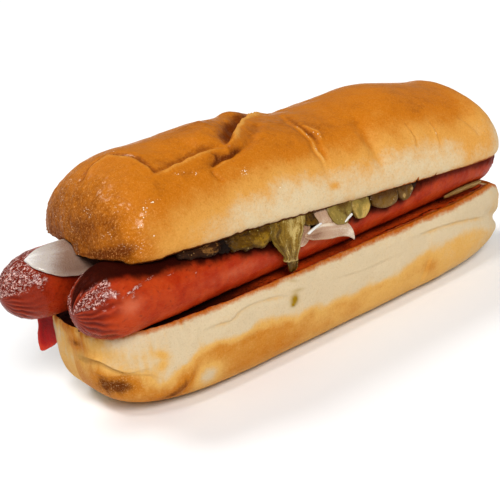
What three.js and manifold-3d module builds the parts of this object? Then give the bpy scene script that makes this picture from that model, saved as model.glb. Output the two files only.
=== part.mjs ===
import * as THREE from 'three';
import { mergeVertices } from 'three/addons/utils/BufferGeometryUtils.js';
import Module from 'manifold-3d';

// A hot dog: a long soft roll cut in two, with two frankfurters side by side in it,
// slices and chunks of pickle and onion at the front, and a strip of red pepper.
// Millimetres, +Z up, X along the roll. The front, where the filling shows, faces -Y.
// The pieces are laid out round the middle of the roll. At the end the whole group is moved
// so that its origin is the middle of the bottom of its bounding box.

const wasm = await Module();
wasm.setup();

// ---------- driving dimensions ----------

const gap = 0.32;

// No ring of points is drawn narrower than this on each side of the middle.
const leastHalfWidth = 0.3;

const heel = {
  left: -97.2,
  right: 98.2,
  halfWidth: 29,
  height: 31.3,
  leftCap: 70,
  rightCap: 75,
  leftPower: 3.46,
  rightPower: 3.56,
  sectionPower: 5,
  endPower: 0.58,
  baseCut: 0.4,
  rimInset: 0.8,
  rimDepth: 5,
  droop: 6,
  droopFrom: 80,
  pointDrop: 0.5,
};

// A crease runs down the side of the lower half to its right end, and splits it in two lobes.
const crease = {
  from: 30,
  startHeight: 26,
  endHeight: 13.5,
  slope: 1.6,
  depth: 3,
  width: 3.4,
};

const crown = {
  left: -90.8,
  right: 93,
  halfWidth: 30.5,
  leftCap: 22,
  rightCap: 22,
  leftPower: 2.96,
  rightPower: 2,
  rise: 16.5,
  rimInset: 1,
  widest: 4,
  rimHeight: 0.3,
  endPower: 1.3,
  roll: -1.93,
  pitch: 2.9,
  yaw: -1.82,
  frontLift: { height: 1, from: -86.5, length: 5 },
  backLift: { height: 3.5, from: -70, length: 21 },
};

// Height of the crown over its cut face, at places along the roll: two swells with a saddle.
const crownHeights = [
  { x: -92, height: 23.5 },
  { x: -66, height: 28.4 },
  { x: -35, height: 31.2 },
  { x: 2, height: 27.8 },
  { x: 37, height: 32.3 },
  { x: 68, height: 28.2 },
  { x: 94, height: 20.5 },
];

// Folds in the crown, as lines from one place to another on its surface:
// x along the roll and the angle round the dome, 0 at the front rim and 180 at the back.
const arcPerDegree = 0.51;
const folds = [
  { x0: -70, a0: 53, x1: -40, a1: 58, depth: 1.6, width: 3 },
  { x0: -51, a0: 40, x1: -26, a1: 62, depth: 1.8, width: 3 },
  { x0: -36, a0: 64, x1: -24, a1: 84, depth: 5.5, width: 4.6 },
  { x0: -34, a0: 52, x1: -3, a1: 104, depth: -1.4, width: 4 },
  { x0: -6, a0: 64, x1: -7, a1: 22, depth: 1.2, width: 3 },
  { x0: 15, a0: 60, x1: 18, a1: 14, depth: 0.8, width: 4 },
  { x0: -78, a0: 104, x1: -66, a1: 52, depth: 1.3, width: 3 },
  { x0: -19, a0: 106, x1: -8, a1: 120, depth: -2.4, width: 6 },
  { x0: 6, a0: 114, x1: 16, a1: 126, depth: -1.1, width: 6 },
];

const frontSausage = {
  tip: new THREE.Vector3(-103, -17.4, 42),
  end: new THREE.Vector3(91, -14.6, 42.4),
  radius: 12,
  endRadius: 11.4,
  capLength: 16,
  capPower: 2.1,
  puckers: 9,
  puckerDepth: 0.5,
};

const rearSausage = {
  tip: new THREE.Vector3(-113.8, 7.4, 44.6),
  end: new THREE.Vector3(84, 11.4, 43),
  radius: 10.8,
  endRadius: 11.1,
  capLength: 15,
  capPower: 2.1,
  puckers: 8,
  puckerDepth: 0.45,
};

// The skin is gathered where a sausage has less than this share of its radius: fully at the
// first share, not at all at the second.
const gather = { full: 0.45, none: 0.95 };

// Room that the crown leaves round the sausages for what lies on them.
const toppingRoom = { on: frontSausage, from: -80, to: 40, depth: 3.4 };
const onionRoom = { on: rearSausage, from: -122, to: -50, depth: 2.6 };
const roomBlend = 8;

// Shares of a sausage's length that a room and a topping keep off its closed ends.
const roomMargin = 0.05;
const toppingMargin = 0.005;

// What lies on a sausage follows its skin. A station is a place along the sausage (x), the
// angle down from its top towards the front, the height of the middle over the skin, and
// half the width and half the thickness of the piece there.
const toppings = [
  {
    name: 'onion_slice',
    on: rearSausage,
    slot: 'onion',
    stations: [
      { x: -105.5, angle: 13, lift: 1.4, width: 2.2, thickness: 0.5 },
      { x: -101.5, angle: 19, lift: 1.4, width: 5.9, thickness: 0.8 },
      { x: -96, angle: 24, lift: 1.45, width: 7.6, thickness: 0.85 },
      { x: -86, angle: 28, lift: 1.45, width: 8.4, thickness: 0.85 },
      { x: -73, angle: 28, lift: 1.45, width: 8.4, thickness: 0.85 },
      { x: -62, angle: 27, lift: 1.4, width: 4, thickness: 0.7 },
    ],
  },
  {
    name: 'relish_dark',
    on: frontSausage,
    slot: 'relish',
    stations: [
      { x: -69, angle: 38, lift: 1.3, width: 1.6, thickness: 0.7 },
      { x: -64, angle: 42, lift: 1.5, width: 2.6, thickness: 1.1 },
      { x: -59, angle: 45, lift: 1.6, width: 3.4, thickness: 1.2 },
      { x: -55, angle: 48, lift: 1.5, width: 2.2, thickness: 0.9 },
    ],
  },
  {
    name: 'pickle_left',
    on: frontSausage,
    slot: 'pickle',
    stations: [
      { x: -53.2, angle: 51, lift: 1.5, width: 2.6, thickness: 0.8 },
      { x: -50.6, angle: 52, lift: 1.65, width: 4.2, thickness: 1.25 },
      { x: -47, angle: 54, lift: 1.65, width: 4.4, thickness: 1.25 },
      { x: -44.4, angle: 55, lift: 1.5, width: 3, thickness: 0.8 },
    ],
  },
  {
    name: 'pickle_middle',
    on: frontSausage,
    slot: 'pickle',
    stations: [
      { x: -42.5, angle: 55, lift: 1.4, width: 3, thickness: 0.8 },
      { x: -41, angle: 57, lift: 1.65, width: 4.8, thickness: 1.2 },
      { x: -38.8, angle: 58, lift: 1.65, width: 4.8, thickness: 1.2 },
      { x: -37.4, angle: 58, lift: 1.4, width: 3, thickness: 0.8 },
    ],
  },
  {
    name: 'pickle_drape',
    on: frontSausage,
    slot: 'pickle',
    stations: [
      { x: -29.2, angle: 32, lift: 1.5, width: 4.6, thickness: 0.9 },
      { x: -29.1, angle: 48, lift: 1.65, width: 7, thickness: 1.2 },
      { x: -29.3, angle: 66, lift: 1.8, width: 6.6, thickness: 1.3 },
      { x: -29.7, angle: 84, lift: 1.8, width: 4.6, thickness: 1.2 },
      { x: -29.3, angle: 103, lift: 1.7, width: 3.2, thickness: 1.0 },
      { x: -28.3, angle: 118, lift: 1.9, width: 1.6, thickness: 0.8 },
      { x: -27.4, angle: 133, lift: 2.6, width: 0.9, thickness: 0.6 },
    ],
  },
  {
    name: 'pickle_dark',
    on: frontSausage,
    slot: 'pickle',
    stations: [
      { x: -18.6, angle: 40, lift: 1.5, width: 1.8, thickness: 0.9 },
      { x: -18.7, angle: 53, lift: 1.7, width: 2.8, thickness: 1.1 },
      { x: -18.9, angle: 62, lift: 1.7, width: 2.8, thickness: 1.1 },
      { x: -19.1, angle: 67, lift: 1.6, width: 1.7, thickness: 0.8 },
    ],
  },
  {
    name: 'onion_upper',
    on: frontSausage,
    slot: 'onion',
    stations: [
      { x: -13.3, angle: 38, lift: 1.5, width: 1.7, thickness: 0.8 },
      { x: -13.3, angle: 50, lift: 1.7, width: 2.1, thickness: 1.1 },
      { x: -13.3, angle: 62, lift: 1.7, width: 2.1, thickness: 1.1 },
      { x: -13.3, angle: 69, lift: 1.7, width: 1.6, thickness: 0.8 },
    ],
  },
  {
    name: 'onion_boat',
    on: frontSausage,
    slot: 'onion',
    stations: [
      { x: -20.4, angle: 86, lift: 1.5, width: 1.8, thickness: 0.8 },
      { x: -17, angle: 87, lift: 1.8, width: 2.6, thickness: 1.2 },
      { x: -11.5, angle: 92, lift: 1.9, width: 2.9, thickness: 1.3 },
      { x: -6, angle: 99, lift: 1.9, width: 2.4, thickness: 1.2 },
      { x: -1.6, angle: 108, lift: 1.8, width: 1.6, thickness: 0.9 },
      { x: 1.4, angle: 124, lift: 1.6, width: 0.7, thickness: 0.5 },
    ],
  },
  {
    name: 'onion_small',
    on: frontSausage,
    slot: 'onion',
    stations: [
      { x: -22.6, angle: 79, lift: 1.5, width: 0.8, thickness: 0.6 },
      { x: -22.9, angle: 87, lift: 1.6, width: 1.0, thickness: 1 },
      { x: -23.4, angle: 96, lift: 1.5, width: 0.8, thickness: 0.8 },
    ],
  },
  {
    name: 'pickle_green',
    on: frontSausage,
    slot: 'pickle_pale',
    stations: [
      { x: -5.3, angle: 38, lift: 1.5, width: 3.6, thickness: 0.9 },
      { x: -5.3, angle: 52, lift: 1.7, width: 5.3, thickness: 1.15 },
      { x: -5.3, angle: 67, lift: 1.85, width: 5.2, thickness: 1.25 },
      { x: -5, angle: 76, lift: 1.8, width: 3.4, thickness: 1.1 },
      { x: -4.6, angle: 81, lift: 1.7, width: 1.6, thickness: 0.8 },
    ],
  },
  {
    name: 'pickle_cream',
    on: frontSausage,
    slot: 'pickle_pale',
    stations: [
      { x: 3.7, angle: 52, lift: 1.5, width: 2.2, thickness: 0.8 },
      { x: 3.8, angle: 62, lift: 1.7, width: 3, thickness: 1.1 },
      { x: 4, angle: 74, lift: 1.8, width: 3.1, thickness: 1.2 },
      { x: 3.6, angle: 86, lift: 1.7, width: 1.6, thickness: 0.9 },
    ],
  },
  {
    name: 'pickle_brown',
    on: frontSausage,
    slot: 'pickle',
    stations: [
      { x: 8.6, angle: 70, lift: 1.4, width: 1.8, thickness: 0.8 },
      { x: 12, angle: 72, lift: 1.7, width: 3.4, thickness: 1.2 },
      { x: 17, angle: 76, lift: 1.8, width: 3.7, thickness: 1.3 },
      { x: 21.6, angle: 79, lift: 1.6, width: 2.4, thickness: 0.9 },
    ],
  },
  {
    name: 'pickle_end',
    on: frontSausage,
    slot: 'pickle',
    stations: [
      { x: 23.4, angle: 77, lift: 1.4, width: 1.8, thickness: 0.8 },
      { x: 26, angle: 78, lift: 1.7, width: 2.8, thickness: 1.2 },
      { x: 29, angle: 80, lift: 1.7, width: 2.6, thickness: 1.1 },
      { x: 31.4, angle: 82, lift: 1.4, width: 1.2, thickness: 0.7 },
    ],
  },
  {
    name: 'pickle_strip',
    on: frontSausage,
    slot: 'pickle_pale',
    stations: [
      { x: 55, angle: 133, lift: 1.3, width: 0.9, thickness: 0.6 },
      { x: 60, angle: 134, lift: 1.5, width: 1.6, thickness: 0.9 },
      { x: 68, angle: 134, lift: 1.6, width: 1.7, thickness: 0.9 },
      { x: 76, angle: 132, lift: 1.4, width: 1, thickness: 0.7 },
    ],
  },
];

// The pepper strip hangs past the back left corner of the lower half of the roll.
const pepper = {
  top: new THREE.Vector3(-96.3, 16.6, 32.4),
  bottom: new THREE.Vector3(-97.5, 19.1, 16.4),
  curl: 1.6,
  across: new THREE.Vector3(0.86, -0.51, 0),
  halfWidths: [2, 2.8, 2.4, 3, 1.7],
  halfThickness: 1.1,
};

const finishes = {
  crust: { color: 0xc98a45, roughness: 0.5 },
  crumb: { color: 0xe6cfa0, roughness: 0.7 },
  sausage: { color: 0xa5402a, roughness: 0.35 },
  onion: { color: 0xdcd6cc, roughness: 0.3 },
  relish: { color: 0x3c2620, roughness: 0.3 },
  pickle: { color: 0x7a7434, roughness: 0.3 },
  pickle_pale: { color: 0xa8a560, roughness: 0.3 },
  pepper: { color: 0xa81a10, roughness: 0.3 },
};

// How finely each kind of piece is drawn: rings along it, and points round half or all of it.
const sausageSides = 20;
const sausageSteps = 22;
const roomSteps = 10;
const rollSides = 24;
const heelSteps = 28;
const crownSteps = 38;
const stepsPerStation = 2;

// Two corners nearer than this are one.
const weldDistance = 1e-4;

// ---------- shared shapes ----------

const degrees = Math.PI / 180;

// A number raised to a power with its sign kept.
function signedPower(value, power) {
  return Math.sign(value) * Math.abs(value) ** power;
}

// Places from one end to the other, closer together towards the ends, without the ends.
function stationsBetween(start, end, count) {
  const places = [];
  for (let i = 1; i < count; i += 1) {
    const share = (1 - Math.cos((Math.PI * i) / count)) / 2;
    places.push(start + (end - start) * share);
  }
  return places;
}

// Width of an outline that is full in the middle and rounded off at both ends.
function endShape(x, part) {
  const left = THREE.MathUtils.clamp((part.left + part.leftCap - x) / part.leftCap, 0, 1);
  const right = THREE.MathUtils.clamp((x - part.right + part.rightCap) / part.rightCap, 0, 1);
  const leftWidth = (1 - left ** part.leftPower) ** (1 / part.leftPower);
  const rightWidth = (1 - right ** part.rightPower) ** (1 / part.rightPower);
  return leftWidth * rightWidth;
}

// A closed body through rings of points, drawn to a single point at both ends.
function bodyFromRings(rings, startPoint, endPoint) {
  const sides = rings[0].length;
  const positions = [];
  for (const ring of rings) {
    for (const point of ring) {
      positions.push(point.x, point.y, point.z);
    }
  }
  positions.push(startPoint.x, startPoint.y, startPoint.z);
  positions.push(endPoint.x, endPoint.y, endPoint.z);
  const start = rings.length * sides;
  const end = start + 1;
  const index = [];
  for (let side = 0; side < sides; side += 1) {
    const next = (side + 1) % sides;
    for (let ring = 0; ring < rings.length - 1; ring += 1) {
      const here = ring * sides;
      const there = here + sides;
      index.push(here + side, there + next, here + next);
      index.push(here + side, there + side, there + next);
    }
    const last = (rings.length - 1) * sides;
    index.push(start, side, next);
    index.push(end, last + next, last + side);
  }
  const geometry = new THREE.BufferGeometry();
  geometry.setAttribute('position', new THREE.Float32BufferAttribute(positions, 3));
  geometry.setIndex(index);
  return geometry;
}

function toSolid(geometry) {
  const bare = geometry.clone();
  bare.deleteAttribute('normal');
  bare.deleteAttribute('uv');
  const merged = mergeVertices(bare, weldDistance);
  const mesh = new wasm.Mesh({
    numProp: 3,
    vertProperties: new Float32Array(merged.attributes.position.array),
    triVerts: new Uint32Array(merged.index.array),
  });
  return new wasm.Manifold(mesh);
}

function toGeometry(solid) {
  const mesh = solid.getMesh();
  const geometry = new THREE.BufferGeometry();
  geometry.setAttribute('position', new THREE.Float32BufferAttribute(mesh.vertProperties, 3));
  geometry.setIndex(Array.from(mesh.triVerts));
  return geometry;
}

// ---------- sausages ----------

// Middle line of a sausage at a share of its length.
function sausageMiddle(sausage, share) {
  return sausage.tip.clone().lerp(sausage.end, share);
}

// Radius at a share of the length: rounded at both ends.
function sausageRadius(sausage, share) {
  const length = sausage.end.x - sausage.tip.x;
  const fromEnd = Math.min(share, 1 - share) * length;
  const into = THREE.MathUtils.clamp(1 - fromEnd / sausage.capLength, 0, 1);
  const round = (1 - into ** sausage.capPower) ** (1 / sausage.capPower);
  return THREE.MathUtils.lerp(sausage.radius, sausage.endRadius, share) * round;
}

// A point at a height over the skin, at an angle down from the top towards the front.
function onSkin(sausage, share, angle, height) {
  const middle = sausageMiddle(sausage, share);
  const reach = sausageRadius(sausage, share) + height;
  middle.y -= reach * Math.sin(angle);
  middle.z += reach * Math.cos(angle);
  return middle;
}

// The sausage itself, with the skin gathered in small folds at both ends.
function makeSausage(sausage) {
  const rings = [];
  for (const share of stationsBetween(0, 1, sausageSteps)) {
    const fullness = sausageRadius(sausage, share) / sausage.radius;
    const smooth = THREE.MathUtils.smoothstep(fullness, gather.full, gather.none);
    const gathered = sausage.puckerDepth * (1 - smooth);
    const ring = [];
    for (let side = 0; side < sausageSides; side += 1) {
      const angle = (-2 * Math.PI * side) / sausageSides;
      const pucker = gathered * (Math.cos(sausage.puckers * angle) - 1);
      ring.push(onSkin(sausage, share, angle, pucker));
    }
    rings.push(ring);
  }
  return bodyFromRings(rings, sausageMiddle(sausage, 0), sausageMiddle(sausage, 1));
}

// The room for a sausage: the same form, a little fatter and longer.
function makeSausageRoom(sausage, extra) {
  const length = sausage.end.x - sausage.tip.x;
  const rings = [];
  for (const share of stationsBetween(0, 1, sausageSteps)) {
    const ring = [];
    for (let side = 0; side < sausageSides; side += 1) {
      const point = onSkin(sausage, share, (-2 * Math.PI * side) / sausageSides, extra);
      point.x += (share - 0.5) * 2 * extra;
      ring.push(point);
    }
    rings.push(ring);
  }
  const startPoint = sausageMiddle(sausage, -extra / length);
  const endPoint = sausageMiddle(sausage, 1 + extra / length);
  return toSolid(bodyFromRings(rings, startPoint, endPoint));
}

// Share of a sausage's length at x, kept off its very ends, where its skin closes.
function shareAt(sausage, x, margin) {
  const share = (x - sausage.tip.x) / (sausage.end.x - sausage.tip.x);
  return THREE.MathUtils.clamp(share, margin, 1 - margin);
}

// Wider room over part of a sausage, blended in at both ends.
function makeToppingRoom(room) {
  const sausage = room.on;
  const rings = [];
  for (const x of stationsBetween(room.from, room.to, roomSteps)) {
    const share = shareAt(sausage, x, roomMargin);
    const edge = Math.min(x - room.from, room.to - x);
    const depth = room.depth * THREE.MathUtils.smoothstep(edge, 0, roomBlend);
    const ring = [];
    for (let side = 0; side < sausageSides; side += 1) {
      const point = onSkin(sausage, share, (-2 * Math.PI * side) / sausageSides, depth);
      point.x = x;
      ring.push(point);
    }
    rings.push(ring);
  }
  const startPoint = rings[0][0].clone().lerp(rings[0][sausageSides / 2], 0.5);
  const lastRing = rings[rings.length - 1];
  const endPoint = lastRing[0].clone().lerp(lastRing[sausageSides / 2], 0.5);
  startPoint.x = room.from;
  endPoint.x = room.to;
  return toSolid(bodyFromRings(rings, startPoint, endPoint));
}

// ---------- roll ----------

// The lower half gets lower towards its right end.
function heelTopShare(x) {
  return 1 - (heel.droop / heel.height) * THREE.MathUtils.smoothstep(x, heel.droopFrom, heel.right);
}

// How far the crease draws the side of the lower half in, at a place and a height.
function creaseDepth(x, z) {
  const share = THREE.MathUtils.clamp((x - crease.from) / (heel.right - crease.from), 0, 1);
  const middle = THREE.MathUtils.lerp(crease.startHeight, crease.endHeight, share ** crease.slope);
  return crease.depth * share ** 2 * Math.exp(-(((z - middle) / crease.width) ** 2));
}

// Lower half: a flat base, rounded lower edges and ends, nearly upright sides, a flat top.
function makeHeel() {
  const rings = [];
  for (const x of stationsBetween(heel.left, heel.right, heelSteps)) {
    const full = endShape(x, heel);
    const topShare = heelTopShare(x);
    const ring = [];
    for (let side = 0; side <= rollSides; side += 1) {
      const angle = (Math.PI * side) / rollSides;
      const across = signedPower(Math.cos(angle), 2 / heel.sectionPower);
      const down = Math.sin(angle) ** (2 / heel.sectionPower) * full ** heel.endPower;
      const z = Math.max(heel.height - (heel.height + heel.baseCut) * down, 0);
      const nearRim = THREE.MathUtils.smoothstep(z, heel.height - heel.rimDepth, heel.height);
      const drawnIn = creaseDepth(x, z);
      const reach = heel.halfWidth * full - heel.rimInset * nearRim - drawnIn;
      const y = across * Math.max(reach, leastHalfWidth);
      ring.push(new THREE.Vector3(x - drawnIn * (1 - full), y, z * topShare));
    }
    rings.push(ring);
  }
  const pointHeight = heel.height - heel.pointDrop;
  const startPoint = new THREE.Vector3(heel.left, 0, pointHeight);
  const endPoint = new THREE.Vector3(heel.right, 0, pointHeight * heelTopShare(heel.right));
  return bodyFromRings(rings, startPoint, endPoint);
}

// Height of the crown at x, eased from one given place to the next.
function crownHeight(x) {
  const last = crownHeights.length - 1;
  let height = crownHeights[0].height;
  for (let i = 0; i < last; i += 1) {
    const from = crownHeights[i];
    const to = crownHeights[i + 1];
    height += (to.height - from.height) * THREE.MathUtils.smoothstep(x, from.x, to.x);
  }
  return height;
}

// How far the folds draw the crown's surface in at a place.
function foldDepth(x, angle) {
  let depth = 0;
  for (const fold of folds) {
    const start = new THREE.Vector2(fold.x0, fold.a0 * arcPerDegree);
    const along = new THREE.Vector2(fold.x1, fold.a1 * arcPerDegree).sub(start);
    const offset = new THREE.Vector2(x, (angle / degrees) * arcPerDegree).sub(start);
    const share = THREE.MathUtils.clamp(offset.dot(along) / along.lengthSq(), 0, 1);
    const distance = offset.sub(along.multiplyScalar(share)).length();
    depth += fold.depth * Math.exp(-((distance / fold.width) ** 2));
  }
  return depth;
}

// From the crown's own place, where its cut face is level, to its place on the roll.
const crownTurn = new THREE.Matrix4().makeRotationZ(crown.yaw * degrees)
  .multiply(new THREE.Matrix4().makeRotationY(crown.pitch * degrees))
  .multiply(new THREE.Matrix4().makeRotationX(crown.roll * degrees));
const crownPlace = new THREE.Matrix4()
  .makeTranslation(0, 0, heel.height + crown.rise)
  .multiply(crownTurn);

// How far the rim is held up near the left end, where it rests on the onion and the sausages.
function rimLift(x, lift) {
  return lift.height * THREE.MathUtils.smoothstep(lift.from - x, 0, lift.length);
}

// Upper half before it is hollowed: a folded dome that turns in a little at its rim.
function makeCrownBody() {
  const rings = [];
  for (const x of stationsBetween(crown.left, crown.right, crownSteps)) {
    const full = endShape(x, crown);
    const frontLift = rimLift(x, crown.frontLift);
    const backLift = rimLift(x, crown.backLift);
    const rim = Math.max(crown.halfWidth * full - crown.rimInset, leastHalfWidth);
    const reach = Math.max(crown.halfWidth * full, leastHalfWidth);
    const ring = [new THREE.Vector3(x, rim, backLift)];
    for (let side = 0; side <= rollSides; side += 1) {
      const angle = Math.PI * (1 - side / rollSides);
      const backShare = THREE.MathUtils.smoothstep(angle, 0, Math.PI);
      const lift = THREE.MathUtils.lerp(frontLift, backLift, backShare);
      const low = THREE.MathUtils.lerp(lift, crown.widest, full ** 2);
      const swell = (crownHeight(x) - low) * full ** crown.endPower;
      const outward = new THREE.Vector3(0, -Math.cos(angle), Math.sin(angle));
      const point = new THREE.Vector3(x, reach * outward.y, swell * outward.z);
      point.z += low + crown.rimHeight;
      ring.push(point.addScaledVector(outward, -foldDepth(x, angle) * full));
    }
    ring.push(new THREE.Vector3(x, -rim, frontLift));
    rings.push(ring.reverse());
  }
  const startPoint = new THREE.Vector3(crown.left, 0, crown.backLift.height);
  const endPoint = new THREE.Vector3(crown.right, 0, crown.rimHeight);
  return bodyFromRings(rings, startPoint, endPoint).applyMatrix4(crownPlace);
}

// ---------- toppings ----------

// A value eased through a list of values, at a place between 0 and the last of them.
function between(values, place) {
  const curve = new THREE.SplineCurve(values.map((value, i) => new THREE.Vector2(i, value)));
  return curve.getPoint(place / (values.length - 1)).y;
}

// Cross-section of a piece: shares of its half width, from one edge over the top to the other
// edge and back underneath, with the share of its half thickness at each.
const sliceSection = [
  { out: 1, up: 0 },
  { out: 0.75, up: 0.8 },
  { out: 0.25, up: 1 },
  { out: -0.25, up: 1 },
  { out: -0.75, up: 0.8 },
  { out: -1, up: 0 },
  { out: -0.75, up: -0.8 },
  { out: -0.25, up: -1 },
  { out: 0.25, up: -1 },
  { out: 0.75, up: -0.8 },
];

// A piece that lies along or across a sausage and bends with its skin.
function makeTopping(piece) {
  const sausage = piece.on;
  const last = piece.stations.length - 1;
  const skinRadius = sausage.radius;
  const steps = last * stepsPerStation;
  const place = (x, arc, height) => {
    const share = shareAt(sausage, x, toppingMargin);
    return onSkin(sausage, share, arc / skinRadius, height);
  };
  const eased = (key, at) => between(piece.stations.map((station) => station[key]), at);
  const line = [];
  for (let step = 0; step <= steps; step += 1) {
    const at = (last * step) / steps;
    line.push(new THREE.Vector2(eased('x', at), eased('angle', at) * degrees * skinRadius));
  }
  const rings = [];
  for (let step = 0; step <= steps; step += 1) {
    const at = (last * step) / steps;
    const before = line[Math.max(step - 1, 0)];
    const ahead = line[Math.min(step + 1, steps)].clone().sub(before).normalize();
    const lift = eased('lift', at);
    const width = eased('width', at);
    const thickness = eased('thickness', at);
    const ring = [];
    for (const corner of sliceSection) {
      const out = width * corner.out;
      const up = thickness * corner.up;
      ring.push(place(line[step].x - ahead.y * out, line[step].y + ahead.x * out, lift + up));
    }
    rings.push(ring);
  }
  const tip = (step, inner, station) => {
    const out = line[step].clone().sub(line[inner]).setLength(station.thickness);
    const at = line[step].clone().add(out);
    return place(at.x, at.y, station.lift);
  };
  const startPoint = tip(0, 1, piece.stations[0]);
  const endPoint = tip(steps, steps - 1, piece.stations[last]);
  return bodyFromRings(rings, startPoint, endPoint);
}

function makePepper() {
  const last = pepper.halfWidths.length - 1;
  const facing = pepper.across.clone().cross(new THREE.Vector3(0, 0, 1)).normalize();
  const rings = [];
  const steps = last * stepsPerStation;
  for (let step = 0; step <= steps; step += 1) {
    const share = step / steps;
    const middle = pepper.top.clone().lerp(pepper.bottom, share);
    middle.addScaledVector(facing, pepper.curl * Math.sin(Math.PI * share));
    const width = between(pepper.halfWidths, last * share);
    const ring = [];
    for (const corner of sliceSection) {
      const point = middle.clone().addScaledVector(pepper.across, -width * corner.out);
      ring.push(point.addScaledVector(facing, pepper.halfThickness * corner.up));
    }
    rings.push(ring);
  }
  const startPoint = pepper.top.clone().add(new THREE.Vector3(0, 0, pepper.halfThickness));
  const endPoint = pepper.bottom.clone().sub(new THREE.Vector3(0, 0, pepper.halfThickness));
  return bodyFromRings(rings, startPoint, endPoint);
}

// ---------- the whole ----------

const hotDog = new THREE.Group();

function addPiece(name, geometry, slot) {
  const faceted = geometry.toNonIndexed();
  faceted.computeVertexNormals();
  const material = new THREE.MeshStandardMaterial({ ...finishes[slot], metalness: 0 });
  const mesh = new THREE.Mesh(faceted, material);
  mesh.name = name;
  hotDog.add(mesh);
}

const frontRoom = makeSausageRoom(frontSausage, gap);
const rearRoom = makeSausageRoom(rearSausage, gap);
let crownSolid = toSolid(makeCrownBody()).subtract(frontRoom).subtract(rearRoom);
crownSolid = crownSolid.subtract(makeToppingRoom(toppingRoom)).subtract(makeToppingRoom(onionRoom));
const heelSolid = toSolid(makeHeel()).subtract(frontRoom).subtract(rearRoom);

addPiece('bun_crown', toGeometry(crownSolid), 'crust');
addPiece('bun_heel', toGeometry(heelSolid), 'crumb');
addPiece('sausage_front', makeSausage(frontSausage), 'sausage');
addPiece('sausage_rear', makeSausage(rearSausage), 'sausage');
for (const piece of toppings) {
  addPiece(piece.name, makeTopping(piece), piece.slot);
}
addPiece('pepper_strip', makePepper(), 'pepper');

hotDog.updateMatrixWorld(true);
const box = new THREE.Box3().setFromObject(hotDog);
const middle = box.getCenter(new THREE.Vector3());
hotDog.position.set(-middle.x, -middle.y, -box.min.z);

export default hotDog;
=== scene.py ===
from itertools import product

import bpy
import numpy as np
from mathutils import Matrix, Vector


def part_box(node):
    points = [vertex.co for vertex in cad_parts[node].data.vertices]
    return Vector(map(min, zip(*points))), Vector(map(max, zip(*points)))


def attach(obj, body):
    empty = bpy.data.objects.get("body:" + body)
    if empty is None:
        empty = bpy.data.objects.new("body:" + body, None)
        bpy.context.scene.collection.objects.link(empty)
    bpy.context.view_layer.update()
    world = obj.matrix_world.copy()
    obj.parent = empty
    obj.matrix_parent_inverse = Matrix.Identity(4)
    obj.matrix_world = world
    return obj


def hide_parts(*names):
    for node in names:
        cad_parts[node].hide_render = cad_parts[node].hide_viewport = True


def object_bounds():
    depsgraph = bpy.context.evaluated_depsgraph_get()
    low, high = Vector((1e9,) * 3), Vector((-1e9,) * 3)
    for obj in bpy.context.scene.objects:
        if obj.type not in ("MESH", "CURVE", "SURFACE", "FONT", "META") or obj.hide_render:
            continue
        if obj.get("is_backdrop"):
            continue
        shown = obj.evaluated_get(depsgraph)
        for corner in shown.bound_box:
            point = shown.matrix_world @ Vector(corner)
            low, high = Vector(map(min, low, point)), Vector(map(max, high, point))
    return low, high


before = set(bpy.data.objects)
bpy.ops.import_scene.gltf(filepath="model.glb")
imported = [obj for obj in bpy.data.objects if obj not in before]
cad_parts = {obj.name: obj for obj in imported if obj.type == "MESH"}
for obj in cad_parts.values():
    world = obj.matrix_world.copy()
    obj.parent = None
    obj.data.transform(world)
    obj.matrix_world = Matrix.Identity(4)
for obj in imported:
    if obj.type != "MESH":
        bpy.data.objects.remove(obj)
cadLow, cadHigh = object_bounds()

# Everything below is worked out in millimetres round the middle of the roll: x along it, the
# filling shows towards -y, z up from the base. addPiece moves the points into the frame, in metres.
millimetre = 0.001
heelBox = {"left": -97.2, "right": 98.2}
heelLow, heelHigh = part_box("bun_heel")
rollShift = np.array([
    heelLow.x / millimetre - heelBox["left"],
    (heelLow.y + heelHigh.y) / 2 / millimetre,
    0.0,
])
print("frame loaded, roll moved by", rollShift.round(3))


def smooth(value, low, high):
    # 0 below low, 1 above high, eased between them as 3t^2 - 2t^3.
    share = np.clip((value - low) / (high - low), 0, 1)
    return share * share * (3 - 2 * share)


def mix(first, second, share):
    # first where share is 0, second where it is 1.
    return first + (second - first) * share


def eased(values, places):
    # A curve through the values, read at places from 0 to the last of them. Each stretch is the
    # cubic whose slope at a value is half the step from the value before to the value after.
    values = np.asarray(values, float)
    last = len(values) - 1
    places = np.clip(np.asarray(places, float), 0, last)
    here = np.minimum(np.floor(places).astype(int), last - 1)
    share = places - here
    start, end = values[here], values[here + 1]
    slopeIn = (end - values[np.maximum(here - 1, 0)]) / 2
    slopeOut = (values[np.minimum(here + 2, last)] - start) / 2
    return (
        (2 * start - 2 * end + slopeIn + slopeOut) * share ** 3
        + (-3 * start + 3 * end - 2 * slopeIn - slopeOut) * share ** 2
        + slopeIn * share + start
    )


hashSteps = np.array([73856093, 19349663, 83492791])
hashSeedStep = 9176243
hashMix = 1274126177
hashTop = 0x7FFFFFFF
hashShifts = (15, 13)


def cornerValues(corner, seed):
    # A whole-number hash of a lattice corner, as a value from -1 to 1.
    key = (corner @ hashSteps + seed * hashSeedStep) & hashTop
    for shift in hashShifts:
        key = ((key ^ (key >> shift)) * hashMix) & hashTop
    return key / hashTop * 2 - 1


def clouds(points, size, seed, layers=1):
    # Soft random lumps: values at the corners of cubes of the given size, eased between the
    # corners. Each further layer is half the size and half the strength.
    total = np.zeros(points.shape[:-1])
    for layer in range(layers):
        place = points * (2 ** layer / size)
        corner = np.floor(place).astype(np.int64)
        share = smooth(place - corner, 0, 1)
        for step in product((0, 1), repeat=3):
            weight = np.prod(np.where(step, share, 1 - share), axis=-1)
            total += weight * cornerValues(corner + np.array(step), seed + layer) / 2 ** layer
    return total


def lumps(points, pattern, seedStart=0):
    # Clouds by a pattern (amount, size, seed, layers), or with a fifth value that draws the
    # points out along each direction before.
    amount, size, seed, layers, *stretch = pattern
    places = points * stretch[0] if stretch else points
    return amount * clouds(places, size, seedStart + seed, layers)


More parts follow.
